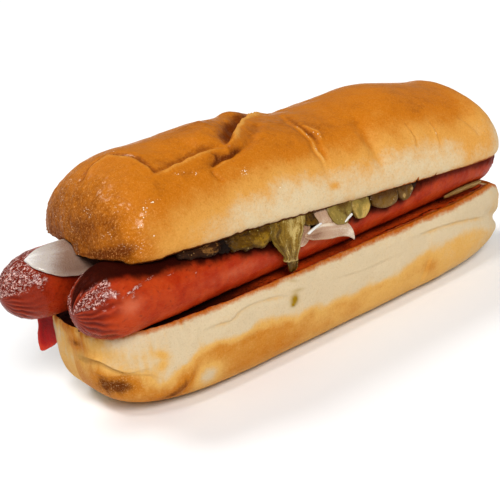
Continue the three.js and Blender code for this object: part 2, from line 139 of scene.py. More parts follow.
def valueAt(x, places):
    # The value at x, straight from each of the places (x, value) to the next.
    return np.interp(x, *zip(*places))


def nearLine(u, v, line, perStretch=6):
    # The nearest point of a curve through the given points: distance from it, positive on the
    # left of the way it runs, and how far along it that is, from 0 to 1.
    count = (len(line) - 1) * perStretch
    places = np.linspace(0, len(line) - 1, count + 1)
    points = np.stack([eased([p[0] for p in line], places), eased([p[1] for p in line], places)], 1)
    steps = np.diff(points, axis=0)
    lengths = np.hypot(steps[:, 0], steps[:, 1])
    before = np.cumsum(lengths) - lengths
    nearest = np.full(u.shape, np.inf)
    side = np.ones(u.shape)
    along = np.zeros(u.shape)
    for start, step, length, done in zip(points, steps, lengths, before):
        offU, offV = u - start[0], v - start[1]
        share = np.clip((offU * step[0] + offV * step[1]) / length ** 2, 0, 1)
        distance = np.hypot(offU - share * step[0], offV - share * step[1])
        closer = distance < nearest
        nearest = np.where(closer, distance, nearest)
        side = np.where(closer, np.where(step[0] * offV > step[1] * offU, 1.0, -1.0), side)
        along = np.where(closer, (done + share * length) / lengths.sum(), along)
    return nearest * side, along


# A fold's half width of edge, the share of its length over which each end fades, and what is
# left of its height at the ends, where its own entry doesn't say.
plainFold = {"edge": 0.8, "fade": 0.2, "ends": 0.15}
justBefore = -0.001


def fadedEnds(along, fade):
    # 0 at both ends of a line, eased to 1 over the given share of its length.
    return smooth(along, justBefore, fade) * smooth(1 - along, justBefore, fade)


def foldHeight(u, v, folds):
    # Sum of the folds: on each side of its line a fold has a height that fades as a bell curve
    # of its width. The two sides meet over the fold's edge, and both ends fade out.
    height = np.zeros(u.shape)
    for entry in folds:
        fold = {**plainFold, **entry}
        distance, along = nearLine(u, v, fold["line"])
        left, right = (
            tall * np.exp(-(distance / wide) ** 2) for tall, wide in (fold["left"], fold["right"])
        )
        both = mix(right, left, smooth(distance, -fold["edge"], fold["edge"]))
        height += both * mix(fold["ends"], 1, fadedEnds(along, fold["fade"]))
    return height


def foldShade(u, v, folds):
    # Sum of the painted shade and highlight along the folds: (offset from the line, width, strength)
    # are bell curves of the distance from it, darker as painted shade where the strength is positive
    # and lighter as painted highlight where it is negative.
    shade = np.zeros(u.shape)
    for fold in folds:
        if "shades" in fold:
            distance, along = nearLine(u, v, fold["line"])
            ends = fadedEnds(along, plainFold["fade"])
            for offset, width, strength in fold["shades"]:
                shade += strength * np.exp(-((distance - offset) / width) ** 2) * ends
    return shade


def spots(u, v, places):
    # Sum of soft oval spots (u, v, half length, half width, turn in degrees, strength).
    total = np.zeros(u.shape)
    for midU, midV, halfLength, halfWidth, turn, strength in places:
        turned = np.radians(turn)
        along = (u - midU) * np.cos(turned) + (v - midV) * np.sin(turned)
        across = (v - midV) * np.cos(turned) - (u - midU) * np.sin(turned)
        total += strength * np.exp(-(along / halfLength) ** 2 - (across / halfWidth) ** 2)
    return total


def endShape(x, part):
    # Width of an outline that is full in the middle and rounded off at both ends: at each end
    # one quarter of a curve |a|^p + |b|^p = 1.
    left = np.clip((part["left"] + part["leftCap"] - x) / part["leftCap"], 0, 1)
    right = np.clip((x - part["right"] + part["rightCap"]) / part["rightCap"], 0, 1)
    leftWidth = (1 - left ** part["leftPower"]) ** (1 / part["leftPower"])
    rightWidth = (1 - right ** part["rightPower"]) ** (1 / part["rightPower"])
    return leftWidth * rightWidth


outlineSteps = 4000


def closerAtEnds(count):
    # Shares from 0 to 1 that come closer together at both ends: (1 - cos t) / 2.
    return (1 - np.cos(np.linspace(0, np.pi, count))) / 2


def evenStations(part, count):
    # Places along a part at equal steps of the length of its outline seen from above, so that
    # they come closer together where the ends round off.
    fine = mix(part["left"], part["right"], closerAtEnds(outlineSteps))
    width = endShape(fine, part) * part["halfWidth"]
    gone = np.concatenate([[0], np.cumsum(np.hypot(np.diff(fine), np.diff(width)))])
    return np.interp(np.linspace(0, gone[-1], count + 2)[1:-1], gone, fine)


def roundedRing(turn, power):
    # Points (a, b) on the ring |a|^p + |b|^p = 1, at the angles of turn.
    scale = (np.abs(np.cos(turn)) ** power + np.abs(np.sin(turn)) ** power) ** (-1 / power)
    return np.cos(turn) * scale, np.sin(turn) * scale


def ringFaces(rings, sides):
    # Faces of a body drawn round rings of points, closed by one point at each end.
    ring, side = np.meshgrid(np.arange(rings - 1), np.arange(sides), indexing="ij")
    ahead = (side + 1) % sides
    walls = np.stack([
        ring * sides + side, ring * sides + ahead,
        (ring + 1) * sides + ahead, (ring + 1) * sides + side,
    ], -1).reshape(-1, 4)
    one = np.arange(sides)
    two = (one + 1) % sides
    start, end = rings * sides, rings * sides + 1
    last = (rings - 1) * sides
    caps = np.concatenate([
        np.stack([np.full(sides, start), two, one], -1),
        np.stack([np.full(sides, end), last + one, last + two], -1),
    ])
    return [walls, caps]


def closedBody(rings):
    # Points of a body from an array of rings (ring, side, 3), and the two points that close it,
    # each the middle of the ring next to it.
    ends = np.stack([rings[0].mean(0), rings[-1].mean(0)])
    return np.concatenate([rings.reshape(-1, 3), ends])


def closedMask(mask):
    # A value for each point of a closed body, its two end points included.
    return np.concatenate([mask.reshape(-1), [mask[0].mean(), mask[-1].mean()]])


def addPiece(name, rings, finish, masks, stands):
    # Puts rings of points, in millimetres round the middle of the roll, into a closed mesh with
    # its masks. Its faces are turned outwards: if the volume inside comes out negative, all are
    # turned.
    places = (closedBody(rings) + rollShift) * millimetre
    faces = ringFaces(*rings.shape[:2])
    volume = 0.0
    for group in faces:
        for corner in range(1, group.shape[1] - 1):
            first, second, third = (places[group[:, k]] for k in (0, corner, corner + 1))
            volume += np.einsum("ij,ij->", first, np.cross(second, third))
    if volume < 0:
        faces = [group[:, ::-1] for group in faces]
    corners = np.concatenate([group.ravel() for group in faces])
    sizes = np.concatenate([np.full(len(group), group.shape[1]) for group in faces])
    mesh = bpy.data.meshes.new(name)
    mesh.vertices.add(len(places))
    mesh.vertices.foreach_set("co", places.astype(np.float32).ravel())
    mesh.loops.add(len(corners))
    mesh.loops.foreach_set("vertex_index", corners.astype(np.int32))
    mesh.polygons.add(len(sizes))
    mesh.polygons.foreach_set("loop_start", (np.cumsum(sizes) - sizes).astype(np.int32))
    mesh.polygons.foreach_set("use_smooth", np.ones(len(sizes), bool))
    mesh.update(calc_edges=True)
    for key, values in masks.items():
        layer = mesh.attributes.new(key, "FLOAT", "POINT")
        layer.data.foreach_set("value", np.clip(closedMask(values), 0, 1).astype(np.float32))
    piece = bpy.data.objects.new(name, mesh)
    bpy.context.scene.collection.objects.link(piece)
    mesh.materials.append(finish)
    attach(piece, "root")
    if stands:
        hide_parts(*stands)
    print(name, "has", int((sizes - 2).sum()), "triangles")


def addNode(tree, kind, inputs=None, **settings):
    # A node with its settings, and each input either linked to a socket or set to a value.
    node = tree.nodes.new(kind)
    for key, value in settings.items():
        setattr(node, key, value)
    for key, value in (inputs or {}).items():
        if isinstance(value, bpy.types.NodeSocket):
            tree.links.new(value, node.inputs[key])
        else:
            node.inputs[key].default_value = value
    return node


def maths(tree, operation, first, second=0.0, clamp=False):
    # One sum of two values, kept between 0 and 1 where clamp is set.
    node = addNode(tree, "ShaderNodeMath", {0: first, 1: second}, operation=operation)
    node.use_clamp = clamp
    return node.outputs[0]


def added(tree, *values):
    # All the values added up.
    total = values[0]
    for value in values[1:]:
        total = maths(tree, "ADD", total, value)
    return total


def scaled(tree, value, factor):
    # The value times a factor, which may be a mask.
    return maths(tree, "MULTIPLY", value, factor)


def span(tree, value, low, high, toLow=0.0, toHigh=1.0):
    # A value eased from toLow to toHigh as it goes from low to high.
    inputs = {"Value": value, "From Min": low, "From Max": high, "To Min": toLow, "To Max": toHigh}
    return addNode(tree, "ShaderNodeMapRange", inputs, interpolation_type="SMOOTHSTEP").outputs[0]


def blend(tree, share, first, second):
    # Two colours mixed: inputs 6 and 7 of the Mix node are its colours, output 2 the result.
    return addNode(tree, "ShaderNodeMix", {0: share, 6: first, 7: second}, data_type="RGBA").outputs[2]


def colour(red, green, blue):
    # A colour given as it looks on a screen, from 0 to 255, as the linear values that nodes use.
    shares = np.array([red, green, blue]) / 255
    linear = np.where(shares > 0.04045, ((shares + 0.055) / 1.055) ** 2.4, shares / 12.92)
    return (*linear.tolist(), 1.0)


def maskOf(tree, name):
    # A mask that the mesh carries, 0 all over where the mesh has none of that name.
    return addNode(tree, "ShaderNodeAttribute", attribute_name=name).outputs["Fac"]


def newGroup(name, inputs, outputs):
    # A node group with named sockets: (name, kind, value) for the inputs, (name, kind) for the
    # outputs. Returns the group and its two end nodes.
    group = bpy.data.node_groups.new(name, "ShaderNodeTree")
    for socketName, kind, value in inputs:
        socket = group.interface.new_socket(socketName, in_out="INPUT", socket_type="NodeSocket" + kind)
        if value is not None:
            socket.default_value = value
    for socketName, kind in outputs:
        group.interface.new_socket(socketName, in_out="OUTPUT", socket_type="NodeSocket" + kind)
    start = group.nodes.new("NodeGroupInput").outputs
    end = group.nodes.new("NodeGroupOutput").inputs
    return group, start, end


def useGroup(tree, group, inputs):
    # A node group placed in a tree with its own values. Returns its outputs.
    return addNode(tree, "ShaderNodeGroup", inputs, node_tree=group).outputs


# The shader's own input that each plain value of a finish is set on.
shaderInputs = {
    "colour": "Base Color", "roughness": "Roughness", "specular": "Specular IOR Level",
    "coat": "Coat Weight", "coatRoughness": "Coat Roughness", "glow": "Subsurface Weight",
    "glowRadius": "Subsurface Radius", "glowScale": "Subsurface Scale", "sheen": "Sheen Weight",
    "sheenRoughness": "Sheen Roughness", "lightGrain": "Sheen Tint",
}


def newFinish(name, looks):
    # A material with the plain values of its looks set. Returns the material, its tree, the
    # shader and the place on the piece in millimetres.
    material = bpy.data.materials.new(name)
    material.use_nodes = True
    tree = material.node_tree
    shader = tree.nodes["Principled BSDF"]
    for key, socket in shaderInputs.items():
        if key in looks:
            shader.inputs[socket].default_value = looks[key]
    coords = addNode(tree, "ShaderNodeTexCoord").outputs["Object"]
    place = addNode(tree, "ShaderNodeVectorMath", {0: coords}, operation="SCALE")
    place.inputs["Scale"].default_value = 1 / millimetre
    return material, tree, shader, place.outputs[0]


def putBump(tree, shader, height, depth):
    # A bump whose height runs from 0 to 1 over the given depth in millimetres.
    bump = addNode(tree, "ShaderNodeBump", {
        "Height": height, "Distance": depth * millimetre, "Strength": 1.0,
    })
    tree.links.new(bump.outputs[0], shader.inputs["Normal"])


def makeMottle():
    # Two sizes of soft noise, one value each round 0, and their sum.
    group, start, end = newGroup(
        "Mottle",
        [("Place", "Vector", None), ("Size", "Float", 6.0), ("Fine size", "Float", 0.8),
         ("Distortion", "Float", 0.3)],
        [("Broad", "Float"), ("Fine", "Float")],
    )
    for output, sizeName, detail in (("Broad", "Size", 4.0), ("Fine", "Fine size", 3.0)):
        noise = addNode(group, "ShaderNodeTexNoise", {
            "Vector": start["Place"],
            "Scale": maths(group, "DIVIDE", 1.0, start[sizeName]),
            "Detail": detail,
            "Roughness": 0.6,
            "Distortion": start["Distortion"],
        })
        group.links.new(maths(group, "SUBTRACT", noise.outputs["Fac"], 0.5), end[output])
    return group


def makePores():
    # Small round pores, as a mask that is 1 in the middle of a pore, on cells of a given size.
    group, start, end = newGroup(
        "Pores",
        [("Place", "Vector", None), ("Size", "Float", 0.6), ("Width", "Float", 0.3),
         ("Share", "Float", 0.5)],
        [("Mask", "Float")],
    )
    cells = addNode(group, "ShaderNodeTexVoronoi", {
        "Vector": start["Place"],
        "Scale": maths(group, "DIVIDE", 1.0, start["Size"]),
    })
    near = span(group, cells.outputs["Distance"], start["Width"], 0.0)
    parts = addNode(group, "ShaderNodeSeparateColor", {"Color": cells.outputs["Color"]})
    chosen = maths(group, "LESS_THAN", parts.outputs[0], start["Share"])
    group.links.new(maths(group, "MULTIPLY", near, chosen), end["Mask"])
    return group


# The baking over which each colour takes over from the one before.
bakingSteps = {"Golden": (0.0, 0.35), "Brown": (0.3, 0.7), "Dark": (0.68, 1.0)}


def makeBrowning():
    # Colour of baked dough: pale, golden, brown and dark as baking goes from 0 to 1.
    group, start, end = newGroup(
        "Browning",
        [("Baking", "Float", 0.5), *((shade, "Color", None) for shade in ("Pale", *bakingSteps))],
        [("Color", "Color")],
    )
    crust = start["Pale"]
    for shade, (low, high) in bakingSteps.items():
        crust = blend(group, span(group, start["Baking"], low, high), crust, start[shade])
    group.links.new(crust, end["Color"])
    return group


def makeFibres():
    # Streaks that run along one direction of a pattern: noise stretched along it, from 0 to 1.
    group, start, end = newGroup(
        "Fibres",
        [("Across", "Float", 0.0), ("Along", "Float", 0.0), ("Count", "Float", 20.0),
         ("Stretch", "Float", 3.0)],
        [("Value", "Float")],
    )
    across = maths(group, "MULTIPLY", start["Across"], start["Count"])
    along = maths(group, "MULTIPLY", start["Along"], start["Stretch"])
    place = addNode(group, "ShaderNodeCombineXYZ", {0: across, 1: along})
    noise = addNode(group, "ShaderNodeTexNoise", {
        "Vector": place.outputs[0], "Scale": 1.0, "Detail": 3.0, "Roughness": 0.6, "Distortion": 0.4,
    })
    group.links.new(span(group, noise.outputs["Fac"], 0.3, 0.7), end["Value"])
    return group


mottle = makeMottle()
pores = makePores()
browning = makeBrowning()
fibres = makeFibres()
print("shared effects built")


# What both halves' finishes share. Sizes are in millimetres, and a pair says where a change
# starts and where it is full.
breadLooks = {
    "fineSize": 1.1, "grainPattern": {"Size": 0.62, "Fine size": 0.26, "Distortion": 0.1},
    "ragged": 0.5, "toastFrom": (0.2, 0.9), "darkeningFrom": (0.05, 0.6), "drenchedShadedFrom": (0.7, 0.95),
    "grainFrom": (0.02, 0.3),
    "smallPores": {"Size": 0.9, "Width": 0.42, "Share": 0.7},
    "largePores": {"Size": 2.4, "Width": 0.36, "Share": 0.45},
    "poreTint": 0.55, "poreDepth": 3.0,
    "specks": {"Size": 0.8, "Width": 0.6, "Share": 0.75}, "specksFrom": (0.12, 0.45),
    "glossFrom": (0.1, 0.8), "grainGloss": 0.3, "dullFrom": (0.75, 1.0), "dull": 0.25,
    "wetGloss": 0.3, "juiceGloss": 0.45, "coatFrom": (0.25, 0.8), "glintCoat": 0.6,
    "glowRadius": (1.0, 0.6, 0.35), "glowScale": 0.0012, "sheenRoughness": 0.5, "depth": 0.16,
}
crustLooks = {
    **breadLooks,
    "pale": colour(208, 190, 156), "golden": colour(208, 152, 76), "brown": colour(187, 113, 22),
    "dark": colour(110, 52, 1), "toast": colour(160, 84, 16), "lightGrain": colour(228, 168, 104),
    "crumb": colour(226, 208, 172), "pore": colour(196, 164, 116), "soaked": colour(84, 36, 10),
    "drenchedShaded": colour(60, 22, 6), "glint": colour(255, 240, 218), "juice": colour(150, 112, 30),
    "mottleSize": 5.0, "mottle": 0.26, "fineMottle": 0.2, "grainTint": 0.2, "gritSparkle": 0.6,
    "paleRoughness": 0.62, "bakedRoughness": 0.38,
    "coat": 0.2, "coatRoughness": 0.16, "specular": 0.08, "sheen": 0.1, "glow": 0.04,
    "grain": 0.45, "dimple": 0.8, "grit": 1.6,
}
heelLooks = {
    **breadLooks,
    "pale": colour(206, 187, 155), "golden": colour(214, 168, 96), "brown": colour(190, 122, 34),
    "dark": colour(112, 58, 6), "toast": colour(176, 94, 16), "lightGrain": colour(226, 196, 150),
    "crumb": colour(214, 186, 140), "pore": colour(176, 136, 86), "soaked": colour(184, 72, 20),
    "drenchedShaded": colour(66, 20, 4), "glint": colour(240, 222, 150), "juice": colour(150, 118, 16),
    "mottleSize": 5.0, "mottle": 0.22, "fineMottle": 0.16, "grainTint": 0.14, "gritSparkle": 0.4,
    "paleRoughness": 0.66, "bakedRoughness": 0.5,
    "coat": 0.05, "coatRoughness": 0.4, "specular": 0.1, "sheen": 0.0, "glow": 0.05,
    "grain": 0.5, "dimple": 0.9, "grit": 2.0,
}


def makeBreadFinish(name, looks):
    # Baked dough outside and open crumb on cut faces. Masks on the mesh say where: baked, crumb,
    # toasted, gritty, soaked with juice and darkened with painted shade, wet with a run of juice, and
    # glinting with painted highlights.
    material, tree, shader, place = newFinish(name, looks)
    soft = useGroup(tree, mottle, {
        "Place": place, "Size": looks["mottleSize"], "Fine size": looks["fineSize"],
    })
    grain = useGroup(tree, mottle, {"Place": place, **looks["grainPattern"]})
    baked, crumb, toasted, gritty, soaked, juice, glinting = (
        maskOf(tree, mask)
        for mask in ("baked", "crumb", "toasted", "gritty", "soaked", "juice", "glinting")
    )
    broad = scaled(tree, soft["Broad"], looks["mottle"])
    baking = added(tree, baked, broad, scaled(tree, soft["Fine"], looks["fineMottle"]))
    crust = useGroup(tree, browning, {
        "Baking": baking, "Pale": looks["pale"], "Golden": looks["golden"],
        "Brown": looks["brown"], "Dark": looks["dark"],
    })["Color"]
    ragged = scaled(tree, soft["Fine"], looks["ragged"])
    toast = span(tree, added(tree, toasted, ragged), *looks["toastFrom"])
    crust = blend(tree, toast, crust, looks["toast"])
    # Skin grain: darker and lighter specks all over, the lighter ones stronger where it is coarse, where
    # they are painted sparkle.
    grainValue = added(tree, grain["Broad"], grain["Fine"])
    start, full = looks["grainFrom"]
    darkGrain = scaled(tree, span(tree, grainValue, start, full), looks["grainTint"])
    tint = added(tree, scaled(tree, gritty, looks["gritSparkle"]), looks["grainTint"])
    lightGrain = scaled(tree, span(tree, grainValue, -start, -full), tint)
    crust = blend(tree, darkGrain, crust, looks["dark"])
    crust = blend(tree, lightGrain, crust, looks["lightGrain"])
    # Crumb: cream with darker pores of two sizes.
    smallPores, largePores = (
        useGroup(tree, pores, {"Place": place, **looks[size]})["Mask"]
        for size in ("smallPores", "largePores")
    )
    hollow = maths(tree, "MAXIMUM", smallPores, largePores)
    inside = blend(tree, scaled(tree, hollow, looks["poreTint"]), looks["crumb"], looks["pore"])
    surface = blend(tree, crumb, crust, inside)
    # Juice soaking and painted shade: the soaked colour, then the drenched colour where it is deepest, which
    # is painted shade in the gaps by the sausages and under the crown.
    wet = span(tree, added(tree, soaked, ragged), *looks["darkeningFrom"])
    surface = blend(tree, wet, surface, looks["soaked"])
    surface = blend(tree, span(tree, soaked, *looks["drenchedShadedFrom"]), surface, looks["drenchedShaded"])
    surface = blend(tree, juice, surface, looks["juice"])
    # Painted glints: small specks painted lighter as highlights.
    specks = useGroup(tree, pores, {"Place": place, **looks["specks"]})["Mask"]
    glints = span(tree, scaled(tree, specks, glinting), *looks["specksFrom"])
    surface = blend(tree, glints, surface, looks["glint"])
    tree.links.new(surface, shader.inputs["Base Color"])
    # Gloss goes up with baking, down again where the crust is darkest, and breaks up with the
    # grain. The crumb is dull, and wet places shine.
    rough = added(
        tree,
        span(tree, baking, *looks["glossFrom"], looks["paleRoughness"], looks["bakedRoughness"]),
        scaled(tree, grain["Broad"], looks["grainGloss"]),
        span(tree, baking, *looks["dullFrom"], 0.0, looks["dull"]),
    )
    rough = maths(tree, "MAXIMUM", rough, crumb)
    damp = added(tree, scaled(tree, wet, looks["wetGloss"]), scaled(tree, juice, looks["juiceGloss"]))
    tree.links.new(maths(tree, "SUBTRACT", rough, damp, clamp=True), shader.inputs["Roughness"])
    plain = maths(tree, "SUBTRACT", 1.0, maths(tree, "MAXIMUM", crumb, gritty), clamp=True)
    coat = scaled(tree, span(tree, baking, *looks["coatFrom"], 0.0, looks["coat"]), plain)
    coat = maths(tree, "ADD", coat, scaled(tree, glinting, looks["glintCoat"]), clamp=True)
    tree.links.new(coat, shader.inputs["Coat Weight"])
    relief = added(
        tree,
        scaled(tree, grainValue, looks["grain"]),
        scaled(tree, scaled(tree, grain["Fine"], gritty), looks["grit"]),
        scaled(tree, soft["Fine"], looks["dimple"]),
        glints,
        scaled(tree, scaled(tree, hollow, crumb), -looks["poreDepth"]),
    )
    putBump(tree, shader, relief, looks["depth"])
    return material


crustFinish = makeBreadFinish("crown crust", crustLooks)
heelFinish = makeBreadFinish("heel crust", heelLooks)
print("roll finishes built")


# The sausages: middle of each end, radius at both ends, length and power of the rounded caps,
# reach of the wine-red ends, depth of the gathered folds, and where painted sparkle specks
# (highlights) lie, as a reach from the left tip and angles down from the top.
frontSausage = {
    "tip": np.array([-103, -17.4, 42]), "end": np.array([91, -14.6, 42.4]),
    "radius": 12, "endRadius": 11.4, "cap": 16, "capPower": 2.1,
    "seed": 11, "wine": 13, "foldDepth": 0.7, "sparkleReach": 15, "sparkleAngles": (22, 70),
}
rearSausage = {
    "tip": np.array([-113.8, 7.4, 44.6]), "end": np.array([84, 11.4, 43]),
    "radius": 10.8, "endRadius": 11.1, "cap": 15, "capPower": 2.1,
    "seed": 12, "wine": 24, "foldDepth": 0.42, "sparkleReach": 17, "sparkleAngles": (-30, 84),
}


def sausageRadius(sausage, share):
    # Radius at a share of the length: straight from one end's radius to the other's, and
    # rounded off over the cap at both ends.
    length = sausage["end"][0] - sausage["tip"][0]
    fromEnd = np.minimum(share, 1 - share) * length
    into = np.clip(1 - fromEnd / sausage["cap"], 0, 1)
    rounded = (1 - into ** sausage["capPower"]) ** (1 / sausage["capPower"])
    return mix(sausage["radius"], sausage["endRadius"], share) * rounded


def onSkin(sausage, share, angle, height):
    # A point at a height over the skin, at an angle down from the top towards the front.
    share = np.asarray(share)[..., None]
    middle = sausage["tip"] + (sausage["end"] - sausage["tip"]) * share
    reach = (sausageRadius(sausage, share[..., 0]) + height)[..., None]
    outward = np.stack([np.zeros_like(angle), -np.sin(angle), np.cos(angle)], -1)
    return middle + reach * outward


# What both skins share. Patterns of lumps are (amount, size, seed, layers, stretch), and a pair
# says where a change starts and where it is full.
sausageLooks = {
    "rings": 330, "sides": 150,
    "folds": 21, "foldReach": 12.0, "foldPower": 0.7, "foldStrength": 0.6, "foldTurn": 3.0,
    "wobble": (1.0, 5.0, 20, 1), "reachChange": 0.35,
    "fineWobble": (1.5, 2.4, 25, 1), "strengthChange": (0.75, 3.6, 30, 1),
    "lip": 0.5, "lipAt": 2.0, "lipWidth": 1.1,
    "wrinkles": (0.1, 1.6, 0, 3, [1.0, 0.55, 0.55]), "swell": (0.35, 14.0, 5, 1),
    "pucker": (0.22, 1.5, 8, 2), "puckerReach": (18, 4), "smoothTip": (0, 1.5),
    "patches": (1.0, 5.0, 40, 3), "wineRag": 5, "wineFade": 16,
    "ridges": (0.5, 1.0), "blushChange": 0.1,
    "sparkleRag": 5, "sparkleFade": 8, "turnRag": 12, "topFade": 12, "sideFade": 20,
}
# Painted shade on the skins, in a dark juice colour. On the front one it is the crown's shadow over
# the top, weaker to the right and at the very tip. On the rear one it is the shade on the side that
# faces the front one. A darker band of painted shade runs low along both. Angles are degrees down
# from the top, and left and right are the values at both ends.
skinJuice = {
    "toRight": (0, 60), "topFade": 13, "ragLeft": 7, "ragRight": 3,
    "lossRight": 0.42, "leastRight": 0.22, "tipLoss": 0.2, "tipFrom": (-88, -98),
    "rear": 0.55, "rearFrom": (-104, -93), "rearAngles": (30, 66), "rag": 8,
    "lowLeft": 0.24, "lowRight": 0.16, "lowAngles": (116, 144), "lowFrom": (8, 22),
}
# How far down from the top the skin is darkened by the crown's painted shadow, at places along the
# front sausage.
juicyTop = [
    (-103, 8), (-99, 24), (-95, 35), (-90, 46), (-83, 53), (-77, 57), (-70, 61), (-63, 65),
    (-48, 77), (-36, 90), (-20, 93), (0, 95), (27, 102), (49, 90), (67, 97), (76, 103), (90, 118),
]
# Pale places, and painted glints (highlights), on the front sausage (x, arc in mm, half length,
# half width, turn, strength).
skinBlush = [
    (-90, 17.5, 4.5, 3.5, 0, 0.6), (-50, 20.5, 16, 2.4, 0, 0.35), (-20, 23, 12, 2, 0, 0.25),
]
skinGlints = [
    (-88.4, 13.4, 2.6, 0.5, -20, 1.0), (-85.4, 12.8, 1.6, 0.5, -20, 0.8),
    (-80.6, 11.8, 2.4, 0.4, -10, 0.8), (-74, 13.2, 1.6, 0.4, 0, 0.5), (-66, 15.4, 2.0, 0.3, 0, 0.4),
]


def makeSausageMesh(name, sausage, finish):
    # A tube of rings at even steps of its outline, closed at both ends. On the skin's own
    # radius come gathered folds near the ends (a wave round the ring, uneven in height and
    # phase, fading inwards), a rolled lip at the very end, fine wrinkles and slow swelling.
    looks, wet, seed = sausageLooks, skinJuice, sausage["seed"]
    length = sausage["end"][0] - sausage["tip"][0]
    outline = {
        "left": 0.0, "right": length, "leftCap": sausage["cap"], "rightCap": sausage["cap"],
        "leftPower": sausage["capPower"], "rightPower": sausage["capPower"],
        "halfWidth": sausage["radius"],
    }
    stations = evenStations(outline, looks["rings"]) / length
    turns = np.linspace(0, 2 * np.pi, looks["sides"], endpoint=False)
    share, angle = np.meshgrid(stations, turns, indexing="ij")
    fromEnd = np.minimum(share, 1 - share) * length
    bare = onSkin(sausage, share, angle, np.zeros_like(share))
    wobble = lumps(bare, looks["wobble"], seed)
    turned = looks["foldTurn"] * wobble + lumps(bare, looks["fineWobble"], seed)
    waves = np.cos(looks["folds"] * angle + turned)
    strength = np.clip(looks["foldStrength"] + lumps(bare, looks["strengthChange"], seed), 0, 2)
    reach = looks["foldReach"]
    gather = smooth(reach * (1 + looks["reachChange"] * wobble) - fromEnd, 0, reach)
    sharpened = np.abs(waves) ** looks["foldPower"] * np.sign(waves)
    rise = sausage["foldDepth"] * gather * strength * (sharpened - 1) / 2
    rise += looks["lip"] * np.exp(-((fromEnd - looks["lipAt"]) / looks["lipWidth"]) ** 2) * strength
    rise += lumps(bare, looks["wrinkles"], seed) + lumps(bare, looks["swell"], seed)
    rise += lumps(bare, looks["pucker"], seed) * smooth(fromEnd, *looks["puckerReach"])
    rise *= smooth(fromEnd, *looks["smoothTip"])
    rings = onSkin(sausage, share, angle, rise)
    fromLeft = share * length
    patchy = lumps(bare, looks["patches"], seed)
    ended = smooth(sausage["wine"] - fromEnd + looks["wineRag"] * patchy, 0, looks["wineFade"])
    # How far down from the top, the same on both sides, in degrees and in millimetres.
    down = np.degrees(np.minimum(angle, 2 * np.pi - angle))
    arc = np.radians(down) * sausage["radius"]
    x = bare[..., 0]
    frontSide = np.where(angle < np.pi, 1.0, 0.0)
    toRight = smooth(x, *wet["toRight"])
    raggedDown = down + wet["rag"] * patchy
    # Painted shade: the crown's shadow over the front sausage's top, the shade on the rear one's side that
    # faces the front one, and a low band of shade along both.
    if sausage is frontSausage:
        edge = valueAt(x, juicyTop) + mix(wet["ragLeft"], wet["ragRight"], toRight) * patchy
        juicy = smooth(down - edge, wet["topFade"], -wet["topFade"])
        juicy = np.maximum(juicy * (1 - wet["lossRight"] * toRight), wet["leastRight"] * toRight)
        juicy *= 1 - wet["tipLoss"] * smooth(x, *wet["tipFrom"])
        blushed, glinting = (spots(x, arc, places) * frontSide for places in (skinBlush, skinGlints))
    else:
        juicy = wet["rear"] * frontSide * smooth(x, *wet["rearFrom"])
        juicy *= smooth(raggedDown, *wet["rearAngles"])
        blushed = glinting = np.zeros_like(x)
    low = mix(wet["lowLeft"], wet["lowRight"], toRight) * smooth(raggedDown, *wet["lowAngles"])
    low *= smooth(fromLeft, *wet["lowFrom"])
    # Painted sparkle: whitish highlight specks near the left tips, with the painted glints.
    sparkle = smooth(
        sausage["sparkleReach"] - fromLeft + looks["sparkleRag"] * patchy, 0, looks["sparkleFade"],
    )
    fromTop, toSide = sausage["sparkleAngles"]
    turnRag = looks["turnRag"] * patchy
    sparkle *= smooth(down + turnRag, fromTop, fromTop + looks["topFade"])
    sparkle *= smooth(toSide - down + turnRag, 0, looks["sideFade"])
    # In the masks, the fold troughs take painted shade and the crests painted highlight.
    masks = {
        "ended": ended,
        "sparkling": np.maximum(sparkle, glinting),
        "folded": gather * (1 - waves) / 2,
        "ridged": gather * smooth(waves, *looks["ridges"]) * strength,
        "juicy": np.maximum(juicy, low),
        "blushed": blushed + looks["blushChange"] * patchy,
    }
    addPiece(name + "_skin", rings, finish, masks, [name])


# Colours, patterns and gloss of the skin. Values in brackets after "From" say where a change
# starts and is full, and what it goes from and to where that isn't 0 and 1.
skinLooks = {
    # The dark juice colour is painted shade, the whitish speck colour painted sparkle (highlights), the fold
    # colour painted shade in the fold troughs and the ridge colour painted highlight on the crests.
    "main": colour(160, 46, 12), "bright": colour(180, 70, 28), "deep": colour(104, 20, 4),
    "end": colour(148, 50, 24), "wine": colour(110, 28, 14), "fold": colour(84, 18, 8),
    "ridge": colour(196, 104, 78), "sparkleTint": colour(232, 188, 178), "paleSpeck": colour(200, 100, 62),
    "blush": colour(202, 112, 80), "juice": colour(40, 6, 1),
    "slowPattern": {"Size": 8.0, "Fine size": 1.4},
    "finePattern": {"Size": 0.58, "Fine size": 0.26, "Distortion": 0.3}, "drawn": (0.5, 1.0, 1.0),
    "brightFrom": (-0.16, 0.16), "deepFrom": (0.04, 0.34, 0.0, 0.8),
    "paleSpeckFrom": (0.05, 0.3, 0.0, 0.35), "blushRag": 0.5,
    "wineShare": 0.65, "foldShare": 0.75, "ridgeShare": 0.3,
    "juiceRag": 0.25, "juiceFrom": (0.05, 0.95, 0.0, 0.97),
    "fleckFine": 0.8, "fleckSlow": 0.35, "flecksFrom": (-0.02, 0.12), "fleckShare": 0.88,
    "crowding": 1.6, "crowdedFrom": (0.2, 0.8), "sparklingFrom": (0.02, 0.3),
    "rough": 0.36, "roughGrain": 0.3, "endGloss": 0.12, "dull": 0.4, "dullFrom": (0.2, 0.9),
    "coat": 0.14, "endCoat": 0.24, "coatRoughness": 0.12, "specular": 0.05,
    "glow": 0.04, "glowRadius": (1.0, 0.25, 0.15), "glowScale": 0.001,
    "fineRelief": 1.1, "slowRelief": 1.2, "endRelief": 2.5, "depth": 0.15,
}


